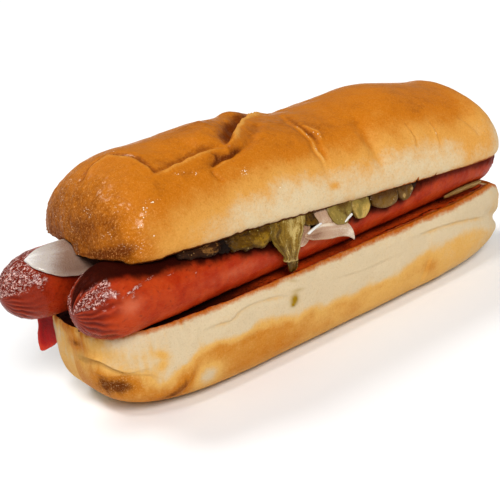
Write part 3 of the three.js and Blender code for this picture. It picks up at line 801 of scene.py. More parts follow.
def makeSausageFinish(looks):
    # Smoked skin: red-brown with slow changes, darker with painted shade where the crown and the other
    # sausage shade it and low down, paler where it is stretched, wine red at the gathered ends with
    # painted shade and highlight on their folds and whitish painted sparkle specks, and a wet shine
    # broken up by fine wrinkles.
    material, tree, shader, place = newFinish("smoked skin", looks)
    slow = useGroup(tree, mottle, {"Place": place, **looks["slowPattern"]})
    drawn = addNode(tree, "ShaderNodeVectorMath", {0: place, 1: looks["drawn"]}, operation="MULTIPLY")
    fine = useGroup(tree, mottle, {"Place": drawn.outputs[0], **looks["finePattern"]})
    ended, sparkling = maskOf(tree, "ended"), maskOf(tree, "sparkling")
    skin = blend(tree, span(tree, slow["Broad"], *looks["brightFrom"]), looks["main"], looks["bright"])
    skin = blend(tree, span(tree, slow["Fine"], *looks["deepFrom"]), skin, looks["deep"])
    skin = blend(tree, span(tree, fine["Broad"], *looks["paleSpeckFrom"]), skin, looks["paleSpeck"])
    blushed = added(tree, maskOf(tree, "blushed"), scaled(tree, slow["Fine"], looks["blushRag"]))
    skin = blend(tree, span(tree, blushed, 0.0, 1.0), skin, looks["blush"])
    skin = blend(tree, ended, skin, looks["end"])
    # The sparkling ends take the wine colour; the fold troughs are darkened as painted shade and the crests
    # lightened as painted highlight.
    for mask, shade in (("sparkling", "wine"), ("folded", "fold"), ("ridged", "ridge")):
        share = scaled(tree, maskOf(tree, mask), looks[shade + "Share"])
        skin = blend(tree, share, skin, looks[shade])
    # Painted shade, darkening the skin to the dark juice colour.
    juicy = added(tree, maskOf(tree, "juicy"), scaled(tree, slow["Fine"], looks["juiceRag"]))
    skin = blend(tree, span(tree, juicy, *looks["juiceFrom"]), skin, looks["juice"])
    # Flecks: painted sparkle, uneven small highlight spots, where the sparkling mask is high enough.
    flecks = added(
        tree,
        fine["Broad"],
        scaled(tree, fine["Fine"], looks["fleckFine"]),
        scaled(tree, slow["Fine"], looks["fleckSlow"]),
    )
    crowded = added(tree, sparkling, scaled(tree, slow["Fine"], looks["crowding"]))
    shown = scaled(tree, span(tree, crowded, *looks["crowdedFrom"]),
                   span(tree, sparkling, *looks["sparklingFrom"]))
    shown = scaled(tree, span(tree, flecks, *looks["flecksFrom"]), shown)
    skin = blend(tree, scaled(tree, shown, looks["fleckShare"]), skin, looks["sparkleTint"])
    tree.links.new(skin, shader.inputs["Base Color"])
    rough = added(tree, scaled(tree, fine["Broad"], looks["roughGrain"]), looks["rough"])
    rough = maths(tree, "SUBTRACT", rough, scaled(tree, ended, looks["endGloss"]))
    soakedSkin = span(tree, juicy, *looks["dullFrom"])
    rough = maths(tree, "ADD", rough, scaled(tree, soakedSkin, looks["dull"]), clamp=True)
    tree.links.new(rough, shader.inputs["Roughness"])
    coat = span(tree, ended, 0.0, 1.0, looks["coat"], looks["endCoat"])
    dry = maths(tree, "SUBTRACT", 1.0, soakedSkin)
    tree.links.new(scaled(tree, coat, dry), shader.inputs["Coat Weight"])
    relief = added(
        tree,
        scaled(tree, fine["Broad"], looks["fineRelief"]),
        scaled(tree, slow["Fine"], looks["slowRelief"]),
        scaled(tree, fine["Broad"], scaled(tree, ended, looks["endRelief"])),
        shown,
    )
    putBump(tree, shader, relief, looks["depth"])
    return material


skinFinish = makeSausageFinish(skinLooks)
makeSausageMesh("sausage_front", frontSausage, skinFinish)
makeSausageMesh("sausage_rear", rearSausage, skinFinish)


# Lower half of the roll. Patterns of lumps and pairs are as in sausageLooks.
heel = {
    **heelBox, "halfWidth": 29, "height": 31.3,
    "leftCap": 70, "rightCap": 75, "leftPower": 3.46, "rightPower": 3.56,
    "sectionPower": 5, "endPower": 0.58, "baseCut": 0.4, "rimInset": 0.8, "rimDepth": 5,
    "leastReach": 0.3, "droop": 6, "droopFrom": 80,
    "rings": 330, "frontSteps": 112, "baseSteps": 36, "backSteps": 84, "topSteps": 48,
    "cornerTurn": 62.0, "clearance": 0.5,
    "frontSide": (0.55, 0.95), "upright": (0.6, 0.97), "leftEnd": (-62, -74),
    "swell": (0.35, 11.0, 61, 2), "lumps": (0.12, 3.0, 64, 3),
    "fibres": (1.0, 1.2, 71, 2, [1.0, 1.0, 0.12]), "fibreDepth": 0.3, "fibreHeights": (21, 26),
    "flakes": (0.16, 1.3, 70, 1, [1.0, 1.0, 0.35]), "flakeHeights": (25, 30),
    "flakesFrom": (-30, -60), "juiceDepth": 0.35, "lip": 0.45, "lipWidth": 0.9,
    "baseWave": (0.5, 16.0, 81, 1), "waveOver": (0.2, 5), "waveUnder": (14, 5),
    "rimFall": 1.5, "rimFallWidth": (0.1, 3.4),
    "topLumps": (0.35, 2.0, 90, 3), "topLumpsFrom": (0.2, 1.5), "topLumpEnds": (0.1, 0.5),
}
# A crease runs down the side to the right end, and splits it in two lobes.
crease = {"from": 30, "startHeight": 26, "endHeight": 13.5, "slope": 1.6, "depth": 3, "width": 3.4}
# Creases on the front side, as lines of (x, height); their shades are painted shade along the crease.
heelFolds = [
    {"line": [(-66, 25.2), (-60, 25.6), (-54.5, 25.2), (-51, 27), (-44, 27.4), (-36, 26.4), (-29, 24.4)],
     "left": (0.25, 1.6), "right": (-0.5, 1.4), "edge": 0.6, "shades": [(-0.5, 0.8, 0.12)]},
    {"line": [(31, 26), (37, 25.8), (46.6, 25.3), (62, 22.8), (79, 18.2)],
     "left": (0.3, 2.4), "right": (-0.55, 1.6), "edge": 0.7, "shades": [(-0.5, 1.0, 0.16)]},
    {"line": [(-86, 20), (-82, 13), (-80, 6)], "left": (0.3, 3), "right": (-0.5, 3), "edge": 1.0},
    {"line": [(-69, 15), (-72, 9), (-75, 4)], "left": (-0.5, 2), "right": (0.3, 3), "edge": 0.8},
    {"line": [(40, 16), (37, 8), (36, 3)], "left": (0.2, 2), "right": (-0.5, 2), "edge": 0.8},
    {"line": [(-10, 24), (5, 22), (20, 22)], "left": (0.15, 2), "right": (-0.25, 1.6), "edge": 0.5},
]
# Height up to which the front side is golden, at places along the roll.
goldenEdge = [(-80, 13), (-74, 17), (-67, 20), (-61, 21), (-48, 20.5), (-35, 19), (-26, 18), (-12, 16.7),
              (12, 15.3), (23, 16.4), (34, 19), (57, 20), (68, 18.5), (85, 12)]
goldenBaking = [
    (-90, 0.2), (-75, 0.45), (-60, 0.62), (-35, 0.6), (-15, 0.5), (5, 0.4), (40, 0.36), (65, 0.24),
    (90, 0.16),
]
# Browned and pale spots on the front side (x, height, half length, half height, turn, strength).
heelSpots = [
    (-64.5, 9.5, 5, 4.5, 30, -0.5), (-20, 12, 6, 3, 0, -0.12),
    (10, 11.5, 4, 2, 0, -0.1), (40, 11, 3, 3.5, 70, 0.2), (12, 13, 4, 1.5, 10, 0.14),
    (-73.5, 9, 5, 2.4, 50, 0.4), (60, 9, 5, 3, 10, 0.08), (84, 20, 5, 6, 0, 0.12),
    (88, 9, 6, 3, 0, 0.1), (94, 24, 6, 6, 0, 0.18),
]
# The left end is worked on the way round its outline from the foremost point of the end: places
# are (way round, height). Here it is folded, soaked from above and baked dark below.
leftFolds = [
    {"line": [(-8, 19.1), (1, 19.8), (8, 22.6), (13, 22.8), (17, 21.1), (21.8, 18.7), (27, 18.6)],
     "left": (1.1, 1.5), "right": (-1.2, 2.6), "edge": 0.6, "ends": 0.2},
    {"line": [(10, 17.6), (17, 17.0), (24, 17.4), (31, 15)],
     "left": (0.3, 1.5), "right": (-0.5, 2.5), "edge": 0.6},
]
leftSpots = [
    (3, 26, 4.5, 1.7, 10, 0.45), (13.5, 14.5, 6.5, 4.2, 0, 0.55), (21.5, 13.6, 8.4, 4.2, 0, 0.7),
    (29, 21.5, 10, 6, 0, 0.12), (6, 21, 12, 8, 0, 0.16), (1, 29, 6, 3, 0, 0.3), (-12, 14, 9, 7, 0, 0.4),
    (5, 17.5, 9, 3.4, 15, 0.3), (33.5, 22, 1.4, 2.4, 60, 0.34), (33, 18.6, 2.0, 1.8, 30, 0.3),
    (14, 6, 14, 4, 0, 0.45), (34, 5, 9, 3, 0, 0.35), (8, 25, 12, 3, 0, 0.3), (1, 22, 7, 3, 0, 0.16),
]
# Juice run down the side from the pickle (x, height, half length, half height, turn, strength).
juiceSpots = [
    (-28.4, 22.8, 1.9, 1.5, 70, 1.3), (-26.4, 25.6, 0.6, 2.4, 80, 0.35), (-28, 29.3, 0.5, 2, 70, 0.3),
    (-29.3, 21.2, 0.7, 0.7, 0, 0.9),
]
# Coarse crust on the left end (way round, height, half length, half height, turn, strength).
grittySpots = [(18, 14, 9, 4, 5, 1.0), (-12, 14, 9, 5, 0, 0.5)]
# How far in from its rim the cut top is toasted and dry, at places along the roll.
toastedTop = [(-97, 0.6), (-20, 0.9), (8, 1.2), (20, 3.2), (45, 4.4), (70, 3.6), (95, 2.4)]
# Browned spots on the back side, which is baked more evenly.
heelBackSpots = [
    (-60, 12, 26, 6, 3, 0.4), (-5, 10, 30, 6, -2, 0.45), (50, 12, 24, 6, 5, 0.42),
    (80, 14, 8, 6, 0, 0.3),
]
# How the masks come out of these.
heelBaking = {
    "patches": (1.0, 7.0, 101, 3), "ragged": (1.0, 1.4, 103, 3, [1.0, 1.0, 2.0]),
    "goldenFade": (-1.5, 4), "goldenAtBase": 0.75, "goldenHeights": (2, 8),
    "backToFront": (-0.2, 0.2), "patchTint": 0.04, "fibreTint": 0.08,
    "baseTint": 0.5, "baseHeights": (1.6, 0), "baseRag": 0.4,
    "soakedSide": 0.5, "soakedTint": 0.9, "soakedMask": 0.3, "soakedHeights": (26, 31.5),
    "soakedFibres": 0.9, "soakedPatches": 1.2, "soakedMiddle": -2, "soakedReach": (23, 15),
    "toast": 0.85, "toastWidth": 1.1, "toastWidthChange": (0.35, 6.0, 104, 1, [1, 0, 0]),
    "widerBy": 0.5, "widerFrom": (-50, 10), "toastRag": 0.3, "toastFade": (-2.0, 1.4),
    "toastEnds": (0.1, 0.6),
    "dryRimChange": (0.5, 3.0, 106, 2), "crumbFrom": (0.1, 1.0), "topRag": 0.4, "topFade": (-0.9, 0.3),
    "underTips": (-70, -82), "soakedShadedAcross": (0.35, 0.6), "soakedShadedAlong": (90, 82), "leastSoakedShaded": 0.12,
    "darkeningFrom": (-0.5, 0.6), "soakedShadedReach": (15, 12),
    "deepestAt": 0.7, "deepestWidth": 0.7, "deepestAlong": (0, -76), "leastDeep": 0.6,
}


def roomOver(sausage, x, y, clearance):
    # How far a sausage with room round it reaches above its middle line at (x, y), and the
    # height of that line. Beside the sausage the reach is 0.
    share = (x - sausage["tip"][0]) / (sausage["end"][0] - sausage["tip"][0])
    middle = sausage["tip"] + (sausage["end"] - sausage["tip"]) * share[..., None]
    radius = sausageRadius(sausage, np.clip(share, 0, 1)) + clearance
    return np.sqrt(np.maximum(radius ** 2 - (y - middle[..., 1]) ** 2, 0)), middle[..., 2]


def creaseDepth(x, z):
    # Depth of the side crease: a bell curve of the height over its line, growing to the right.
    share = np.clip((x - crease["from"]) / (heel["right"] - crease["from"]), 0, 1)
    middle = mix(crease["startHeight"], crease["endHeight"], share ** crease["slope"])
    return crease["depth"] * share ** 2 * np.exp(-((z - middle) / crease["width"]) ** 2)


def makeHeel():
    # Rings across the roll. The outside runs from the front rim under the base to the back rim
    # on the curve |a|^5 + |b|^5 = 1, flat below; the cut top runs back with two shallow beds.
    part, bake = heel, heelBaking
    corner = np.radians(part["cornerTurn"])
    turn = np.concatenate([
        np.linspace(0, corner, part["frontSteps"], endpoint=False),
        np.linspace(corner, np.pi - corner, part["baseSteps"], endpoint=False),
        np.linspace(np.pi - corner, np.pi, part["backSteps"]),
    ])
    x, angle = np.meshgrid(evenStations(part, part["rings"]), turn, indexing="ij")
    full = endShape(x, part)
    forwards, down = roundedRing(angle, part["sectionPower"])
    across = -forwards
    depth = (part["height"] + part["baseCut"]) * down * full ** part["endPower"]
    z = np.maximum(part["height"] - depth, 0)
    nearRim = smooth(z, part["height"] - part["rimDepth"], part["height"])
    drawnIn = creaseDepth(x, z)
    reach = part["halfWidth"] * full - part["rimInset"] * nearRim - drawnIn
    front = smooth(forwards, *part["frontSide"])
    upright = smooth(np.abs(across), *part["upright"])
    place = np.stack([x, across * reach, z], -1)
    # Relief on the sides, measured outwards.
    rise = lumps(place, part["swell"]) + lumps(place, part["lumps"])
    rise += foldHeight(x, z, heelFolds) * front
    step = np.linalg.norm(np.diff(place[:, 0, :2], axis=0), axis=1)
    wayRound = np.concatenate([[0], np.cumsum(step)])[:, None] * np.sign(forwards)
    leftEnd = smooth(x, *part["leftEnd"])
    rise += foldHeight(wayRound, z, leftFolds) * leftEnd
    fibrous = lumps(place, part["fibres"])
    rise += part["fibreDepth"] * fibrous * leftEnd * smooth(z, *part["fibreHeights"])
    juice = np.clip(spots(x, z, juiceSpots) * front, 0, 1)
    rise += part["juiceDepth"] * juice
    flaky = smooth(z, *part["flakeHeights"]) * smooth(x, *part["flakesFrom"]) * front
    rise += lumps(place, part["flakes"]) * flaky
    edgeGap = np.abs(part["height"] - z)
    rise -= part["lip"] * np.exp(-(edgeGap / part["lipWidth"]) ** 2)
    # The relief stands square to the outline: across the roll on the sides, along it at the ends.
    slope = np.gradient(part["halfWidth"] * full[:, 0], x[:, 0])[:, None]
    rise *= upright / np.hypot(1, slope)
    reach = np.maximum(reach + rise, part["leastReach"])
    wave = lumps(place, part["baseWave"]) * upright
    wave *= smooth(z, *part["waveOver"]) * smooth(z, *part["waveUnder"])
    topShare = 1 - part["droop"] / part["height"] * smooth(x, part["droopFrom"], part["right"])
    along = x - drawnIn * (1 - full) - slope * rise
    shell = np.stack([along, across * reach, np.maximum(z + wave, 0) * topShare], -1)
    # The cut top, from the back rim to the front rim.
    backRim, frontRim = shell[:, -1], shell[:, 0]
    share = np.linspace(0, 1, part["topSteps"] + 2)[1:-1]
    top = mix(backRim[:, None], frontRim[:, None], share[:, None])
    bed = top[..., 2]
    for sausage in (frontSausage, rearSausage):
        over, middle = roomOver(sausage, top[..., 0], top[..., 1], part["clearance"])
        bed = np.minimum(bed, np.where(over > 0, middle - over, bed))
    rough = lumps(top, part["topLumps"]) * smooth(full[:, :1], *part["topLumpEnds"])
    fromRim = np.minimum(share, 1 - share) * np.abs(frontRim[:, 1:2] - backRim[:, 1:2])
    sunk = part["rimFall"] * smooth(fromRim, *part["rimFallWidth"])
    rough *= smooth(fromRim, *part["topLumpsFrom"])
    top[..., 2] = np.minimum(bed, top[..., 2] - sunk) + rough
    rings = np.concatenate([shell, top], 1)
    # Where the sides are browned: golden up to an edge, spots, painted shade along the folds and the
    # soaked left end.
    patchy = lumps(place, bake["patches"])
    wetHeight = z + bake["soakedFibres"] * fibrous + bake["soakedPatches"] * patchy
    soakedSide = bake["soakedSide"] * smooth(wetHeight, *bake["soakedHeights"])
    soakedSide *= smooth(np.abs(wayRound - bake["soakedMiddle"]), *bake["soakedReach"])
    golden = valueAt(x, goldenBaking) * smooth(valueAt(x, goldenEdge) - z + patchy, *bake["goldenFade"])
    golden *= mix(bake["goldenAtBase"], 1, smooth(z, *bake["goldenHeights"]))
    onLeft = spots(wayRound, z, leftSpots) * leftEnd
    onFront = golden + spots(x, z, heelSpots) + onLeft + foldShade(x, z, heelFolds)
    onBack = spots(x, z, heelBackSpots) + onLeft
    baked = mix(onBack, onFront, smooth(forwards, *bake["backToFront"]))
    baked += bake["soakedTint"] * soakedSide + bake["patchTint"] * patchy
    baked += bake["fibreTint"] * fibrous * leftEnd
    nearBase = smooth(z - bake["baseRag"] * patchy, *bake["baseHeights"])
    baked = np.maximum(baked, bake["baseTint"] * nearBase)
    # The toasted rim, and the coarse crust on the left end.
    ragged = lumps(place, bake["ragged"])
    width = bake["toastWidth"] + lumps(place, bake["toastWidthChange"])
    width += bake["widerBy"] * smooth(x, *bake["widerFrom"])
    toasted = smooth(width + bake["toastRag"] * ragged - edgeGap, *bake["toastFade"])
    toasted *= bake["toast"] * smooth(full, *bake["toastEnds"])
    gritty = np.clip(spots(wayRound, z, grittySpots), 0, 1) * leftEnd
    # The cut top: dry and toasted at the rim, then soaked with juice and darkened with painted shade,
    # most of all just inside the dry rim, in the gap beside the sausages, and under the sausages' tips.
    topX = top[..., 0]
    pastDryRim = fromRim - valueAt(topX, toastedTop) - lumps(top, bake["dryRimChange"])
    underTips = smooth(topX, *bake["underTips"])
    wetTop = smooth(share, *bake["soakedShadedAcross"]) * smooth(topX, *bake["soakedShadedAlong"]) + underTips
    topSoaked = smooth(pastDryRim, *bake["darkeningFrom"]) * np.clip(wetTop, bake["leastSoakedShaded"], 1)
    topSoaked *= np.maximum(smooth(fromRim, *bake["soakedShadedReach"]), underTips)
    deepest = np.exp(-((pastDryRim - bake["deepestAt"]) / bake["deepestWidth"]) ** 2)
    deepest = np.maximum(deepest, smooth(topX, *bake["deepestAlong"]))
    topSoaked *= mix(bake["leastDeep"], 1, deepest)
    topToasted = smooth(bake["topRag"] * ragged[:, :1] - pastDryRim, *bake["topFade"])
    onSides, onTop = np.zeros_like(x), np.zeros_like(topX)
    masks = {
        "baked": (baked, onTop),
        "toasted": (toasted, topToasted),
        "gritty": (gritty, onTop),
        "crumb": (onSides, smooth(pastDryRim, *bake["crumbFrom"])),
        "soaked": (bake["soakedMask"] * soakedSide, topSoaked),
        "juice": (juice, onTop),
    }
    masks = {key: np.concatenate(parts, 1) for key, parts in masks.items()}
    addPiece("heel_bread", rings, heelFinish, masks, ["bun_heel"])


makeHeel()


# Upper half of the roll, before it is turned and set down on the sausages.
crown = {
    "left": -90.8, "right": 93, "halfWidth": 30.5, "leftCap": 22, "rightCap": 22,
    "leftPower": 2.96, "rightPower": 2, "rise": 16.5, "rimInset": 1, "widest": 4, "rimHeight": 0.3,
    "endPower": 1.3, "leastReach": 0.3, "turns": {"Z": -1.82, "Y": 2.9, "X": -1.93},
    "frontLift": {"height": 1, "from": -86.5, "length": 5},
    "backLift": {"height": 3.5, "from": -70, "length": 21},
    "heights": [(-92, 23.5), (-66, 28.4), (-35, 31.2), (2, 27.8), (37, 32.3), (68, 28.2), (94, 20.5)],
    "rings": 392, "outerSteps": 206, "underSteps": 44, "edgeSteps": 900, "rimSteps": 0.35,
    "rimTurn": 0.14, "clearance": 0.45, "touching": 1e-6,
    "edgeWaves": [(0.45, 2.4, 201, 2, [1, 0, 0]), (0.7, 9.0, 205, 1, [1, 0, 0])],
    "edgeWaveHeights": (0.2, 1.0),
    "swell": (0.4, 15.0, 211, 2), "lumps": (0.09, 3.2, 215, 3), "lip": 0.5, "lipWidth": 1.0,
    "wander": [(0.8, 5.0, 217, 2), (0.8, 5.0, 219, 2)], "crumple": (0.42, 4.2, 227, 3),
    "valleys": (-0.4, -3.4),
    "coarseFrom": (-70, -88), "coarseEdge": (5.0, 6.0, 223, 2), "coarseLumps": (0.2, 1.0, 221, 2),
    "flakes": (0.5, 1.6, 225, 2, [1.0, 1.0, 0.5]), "flakeWidth": (5, 0), "flakesFrom": (-78, -88),
    "underLumps": (0.3, 3.0, 231, 3), "underLumpEnds": (0.1, 0.6), "underLumpsFrom": (0, 0.05),
    "underRim": (0, 0.04),
}
# Room for what lies on the sausages: start and end along the roll, depth, and the blend length.
toppingRooms = [
    {"on": frontSausage, "from": -80, "to": 40, "depth": 3.4, "blend": 8},
    {"on": rearSausage, "from": -122, "to": -50, "depth": 2.6, "blend": 8},
]
# Folds in the dome, as lines of (x, angle round it): 0 at the front rim, 180 at the back.
# Heights are in millimetres. Left is towards the top on a line that runs to the right.
arcPerDegree = 0.51
# A fold's shades are painted: darker as painted shade where the strength is positive, lighter as painted
# highlight where it is negative.
crownFolds = [
    # the deep pit and the sharp lip beside it, with painted shade in the pit and painted highlight on the
    # lip
    {"line": [(-39.5, 55), (-36, 60), (-32.5, 66), (-27, 77), (-20, 89), (-12, 98), (-3, 106)],
     "left": (-3.4, 2.6), "right": (1.5, 2.0), "edge": 0.5, "fade": 0.14,
     "shades": [(2.2, 1.9, 0.24), (-1.1, 1.1, -0.4)]},
    {"line": [(-36, 64), (-31, 75), (-25, 86), (-17, 98)], "left": (-2.6, 2.6), "right": (-2.0, 3.0)},
    {"line": [(-48, 60), (-43, 70), (-38, 84), (-35, 98)], "left": (0.9, 3.6), "right": (0.7, 2.2)},
    # the valley on the other side of the lip, running down into a crease
    {"line": [(-16, 80), (-21, 70), (-25, 64), (-29.5, 56), (-34, 50.5), (-38.4, 47), (-44.2, 45)],
     "left": (-1.4, 1.6), "right": (-1.3, 2.6), "edge": 0.8, "fade": 0.3, "shades": [(-0.4, 1.6, 0.08)]},
    {"line": [(-33, 51), (-38.4, 47.2), (-44.2, 45), (-49.7, 42)],
     "left": (-0.3, 1.2), "right": (-1.5, 1.6), "edge": 0.35,
     "shades": [(-0.7, 0.7, 0.24), (0.6, 0.5, -0.2)]},
    {"line": [(-49.7, 42), (-49.3, 37), (-47.5, 30)],
     "left": (-0.6, 1.0), "right": (-0.4, 1.2), "edge": 0.4, "shades": [(0.0, 0.6, 0.14)]},
    # two small lobes between the valley and the long fold
    {"line": [(-46.5, 53), (-44.5, 49.5), (-44.8, 46)],
     "left": (-0.9, 1.2), "right": (0.4, 1.2), "edge": 0.4, "shades": [(0.3, 0.7, 0.14)]},
    {"line": [(-39.4, 56), (-38.6, 52), (-39.5, 48)],
     "left": (0.6, 1.2), "right": (-0.8, 1.2), "edge": 0.4, "shades": [(-0.4, 0.7, 0.12)]},
    # the long fold to the left, with a sharp lit edge: painted highlight on the edge and painted shade above
    # it
    {"line": [(-69.5, 52), (-64, 53.5), (-57.5, 55), (-52, 56.5), (-47.7, 56.5), (-42, 56), (-39, 55)],
     "left": (-1.4, 3.4), "right": (1.0, 2.4), "edge": 0.9, "fade": 0.35,
     "shades": [(1.4, 1.7, 0.13), (-0.8, 1.1, -0.26)]},
    {"line": [(-66, 64), (-56, 67), (-46, 70)], "left": (-0.7, 4), "right": (-0.8, 3)},
    # a narrow step over the left shoulder
    {"line": [(-84, 86), (-80.5, 90), (-77, 91), (-73.6, 90), (-71, 84), (-69, 74), (-67.2, 62),
              (-66.4, 51)],
     "left": (-1.2, 1.9), "right": (0.5, 2.2), "edge": 0.9, "fade": 0.12,
     "shades": [(0.9, 1.3, 0.2), (-0.8, 0.8, -0.2)]},
    # the double crease in the middle and its branch, bright from painted highlight along the branch lines
    {"line": [(-3, 92), (-6, 74), (-6.4, 60), (-6.0, 50), (-6.6, 41), (-6.9, 32), (-7.2, 20)],
     "left": (-1.0, 2.2), "right": (-1.4, 1.9), "edge": 0.6, "ends": 0.3, "shades": [(1.3, 0.8, 0.12)]},
    {"line": [(-4.6, 64), (-3.2, 57), (-2, 52), (-3.1, 45)], "left": (0.5, 0.7), "right": (0.5, 0.7),
     "shades": [(0.0, 0.4, -0.3)]},
    {"line": [(-6.6, 70), (-6.2, 52), (-6.8, 38), (-7.1, 24)], "left": (0.7, 0.65), "right": (0.7, 0.65),
     "shades": [(0.0, 0.4, -0.3)]},
    # soft valleys to the right
    {"line": [(15.7, 62), (15.1, 44), (15.3, 24), (19.1, 8)], "left": (-1.3, 3.4), "right": (-1.1, 2.6),
     "shades": [(0.0, 1.4, 0.1)]},
    {"line": [(33.5, 38), (34.3, 28), (33.3, 16)], "left": (-0.5, 1.6), "right": (0.3, 1.6), "edge": 0.4,
     "shades": [(0.2, 0.5, 0.12)]},
    {"line": [(45.0, 34), (45.6, 25), (45.3, 13)], "left": (-0.4, 1.3), "right": (0.45, 1.0), "edge": 0.3,
     "shades": [(0.2, 0.5, 0.12)]},
    {"line": [(60, 34), (64, 24), (66, 12)], "left": (-0.5, 3.0), "right": (0.3, 3.0), "edge": 1.0},
    # two swells on the far shoulder
    {"line": [(-19, 106), (-8, 120)], "left": (2.4, 6), "right": (2.4, 6), "ends": 1.0},
    {"line": [(6, 114), (16, 126)], "left": (1.1, 6), "right": (1.1, 6), "ends": 1.0},
    # the back side, folded less
    {"line": [(-55, 128), (-40, 140), (-30, 158)], "left": (-0.9, 3), "right": (0.5, 4)},
    {"line": [(28, 160), (34, 142), (30, 122)], "left": (-0.8, 3), "right": (0.4, 4)},
    {"line": [(58, 150), (66, 132), (72, 110)], "left": (-0.5, 4), "right": (0.3, 4)},
]
# How the dome is baked over its front rim, at places along the roll: baking at the rim, and the
# angles between which it goes over to the baking of the top. The back rim is the same, softer.
# At the left end the dark baking is partly the crust's own colour and partly painted shade on the
# end that faces away from the light.
frontBaking = [
    (-92, 0.9, 60, 115), (-88, 0.86, 55, 110), (-84.5, 0.78, 30, 90), (-80, 0.58, 0, 60), (-76, 0.46, 0, 50),
    (-72, 0.38, 0, 46), (-60, 0.24, 0, 48), (-48, 0.13, 2, 50),
    (-36, 0.06, 2, 50), (-12, 0.08, 3, 54), (0, 0.12, 4, 56), (24, 0.07, 4, 54), (48, 0.1, 4, 54),
    (60, 0.22, 4, 50), (72, 0.22, 4, 60), (84, 0.05, 8, 75), (93, 0.3, 0, 60),
]
backBaking = [
    (-92, 0.96, 50, 100), (-86, 0.86, 30, 90), (-80, 0.6, 0, 70), (-60, 0.4, 5, 60),
    (-20, 0.12, 8, 52), (30, 0.06, 10, 60), (70, 0.12, 8, 50), (93, 0.3, 5, 50),
]
topBaking = [(-96, 0.88), (-88, 0.81), (-79, 0.71), (60, 0.72), (74, 0.56), (84, 0.36), (93, 0.42)]
# Where the crust is crumpled (x, arc in mm, half length, half width, turn, strength).
crumpledPlaces = [
    (-34, 38, 24, 12, 0, 1.0), (-70, 34, 14, 12, 0, 0.6), (-5, 30, 9, 16, 0, 0.5),
    (8, 52, 16, 8, 0, 0.5),
]
# Browner and paler places on the dome (x, arc in mm, half length, half width, turn, strength).
crownSpots = [
    (-83, 20, 8, 6, 0, 0.06), (-85, 3, 6, 3.5, 0, 0.2), (-40, 44, 10, 4, 0, 0.08), (-20, 20, 14, 4, 0, 0.04),
    (2, 30, 16, 7, 0, 0.04), (-50, 24, 10, 3, 10, 0.1), (20, 24, 8, 4, 30, -0.08),
    (-66, 40, 14, 5, 0, -0.04),
    (42, 22, 4, 3, 20, 0.12), (30, 48, 20, 9, 0, -0.04), (-6, 4, 2.2, 1.6, 0, 0.22), (88, 3, 4, 3, 0, 0.5),
    (64, 5, 9, 3, 0, 0.12),
]
# Painted glints (highlights) on the dome (x, arc in mm, half length, half width, turn, strength).
crownGlints = [
    (-73.5, 17.2, 2.4, 0.8, -20, 1.0), (-76.6, 15.8, 1.5, 0.9, 40, 1.0), (-78.6, 13.2, 1.8, 0.7, 70, 0.9),
    (-79.9, 10.2, 1.6, 0.6, 80, 0.8), (-79.0, 5.6, 1.1, 0.9, 0, 1.0), (-77, 5.1, 1.6, 0.5, 0, 0.8),
    (-71, 48.2, 2.2, 0.8, -60, 0.9), (-6.5, 33, 3, 0.4, 90, 0.8), (-6.2, 27, 3, 0.35, 90, 0.7),
    (-6.7, 20, 3.4, 0.35, 90, 0.7), (-3.2, 27, 3, 0.35, 100, 0.7), (1, 50, 2.2, 0.8, 0, 0.7),
    (6, 52, 2.4, 0.8, 0, 0.5), (-39, 17, 2.0, 1.3, 30, 0.85), (-60, 24, 2.2, 1.2, 20, 0.75),
    (-56, 22, 1.4, 1.0, 20, 0.6), (-29, 9, 2.0, 1.2, 0, 0.6), (45.6, 12, 3.0, 0.4, 90, 0.7),
    (34.5, 13, 2.2, 0.4, 90, 0.5), (36, 40, 2, 1, 0, 0.3), (-52, 12, 2, 1, 0, 0.25),
]
# How the masks come out of these.
crownBaking = {
    "patches": (1.0, 9.0, 241, 3), "ragged": (1.0, 1.4, 243, 3, [1.0, 1.0, 2.0]),
    "rimRag": 2.5, "frontToBack": (75, 105), "patchTint": 0.03, "valleyShade": 0.06,
    "band": 0.2, "bandChange": (0.3, 7.0, 245, 1, [1, 0, 0]), "widerBands": [(0.5, 0, 40), (2.2, 84, 91)],
    "toastRag": 0.3, "toastFade": (-0.6, 0.8), "toastedTip": (90.8, 92.4), "underToast": (0.04, 0.01),
    "sparkle": 0.34, "sparklePatches": (1.0, 3.0, 247, 2), "sparkleFrom": (-0.2, 0.6),
    "grit": 0.8, "gritChange": 0.4, "crumbFrom": (0.01, 0.05),
    "soakedShadedRim": 0.8, "soakedShadedGap": (0.9, 0.1), "soakedShadedFrom": (10, -10), "soakedShadedUnder": 0.85,
}


def crownPlacement():
    # From the crown's own place, where its cut face is level, to its place on the roll.
    turned = Matrix.Identity(3)
    for axis, degrees in crown["turns"].items():
        turned = turned @ Matrix.Rotation(np.radians(degrees), 3, axis)
    return np.array(turned), np.array([0, 0, heel["height"] + crown["rise"]])


def crownHeight(x):
    # Height of the dome at x: from one given place to the next it changes as 3t^2 - 2t^3.
    places = crown["heights"]
    height = np.full(x.shape, float(places[0][1]))
    for (fromX, fromHeight), (toX, toHeight) in zip(places, places[1:]):
        height += (toHeight - fromHeight) * smooth(x, fromX, toX)
    return height


def rimLift(x, lift):
    # How far a rim is lifted at x: nothing past its start, eased to its height over its length.
    return lift["height"] * smooth(lift["from"] - x, 0, lift["length"])


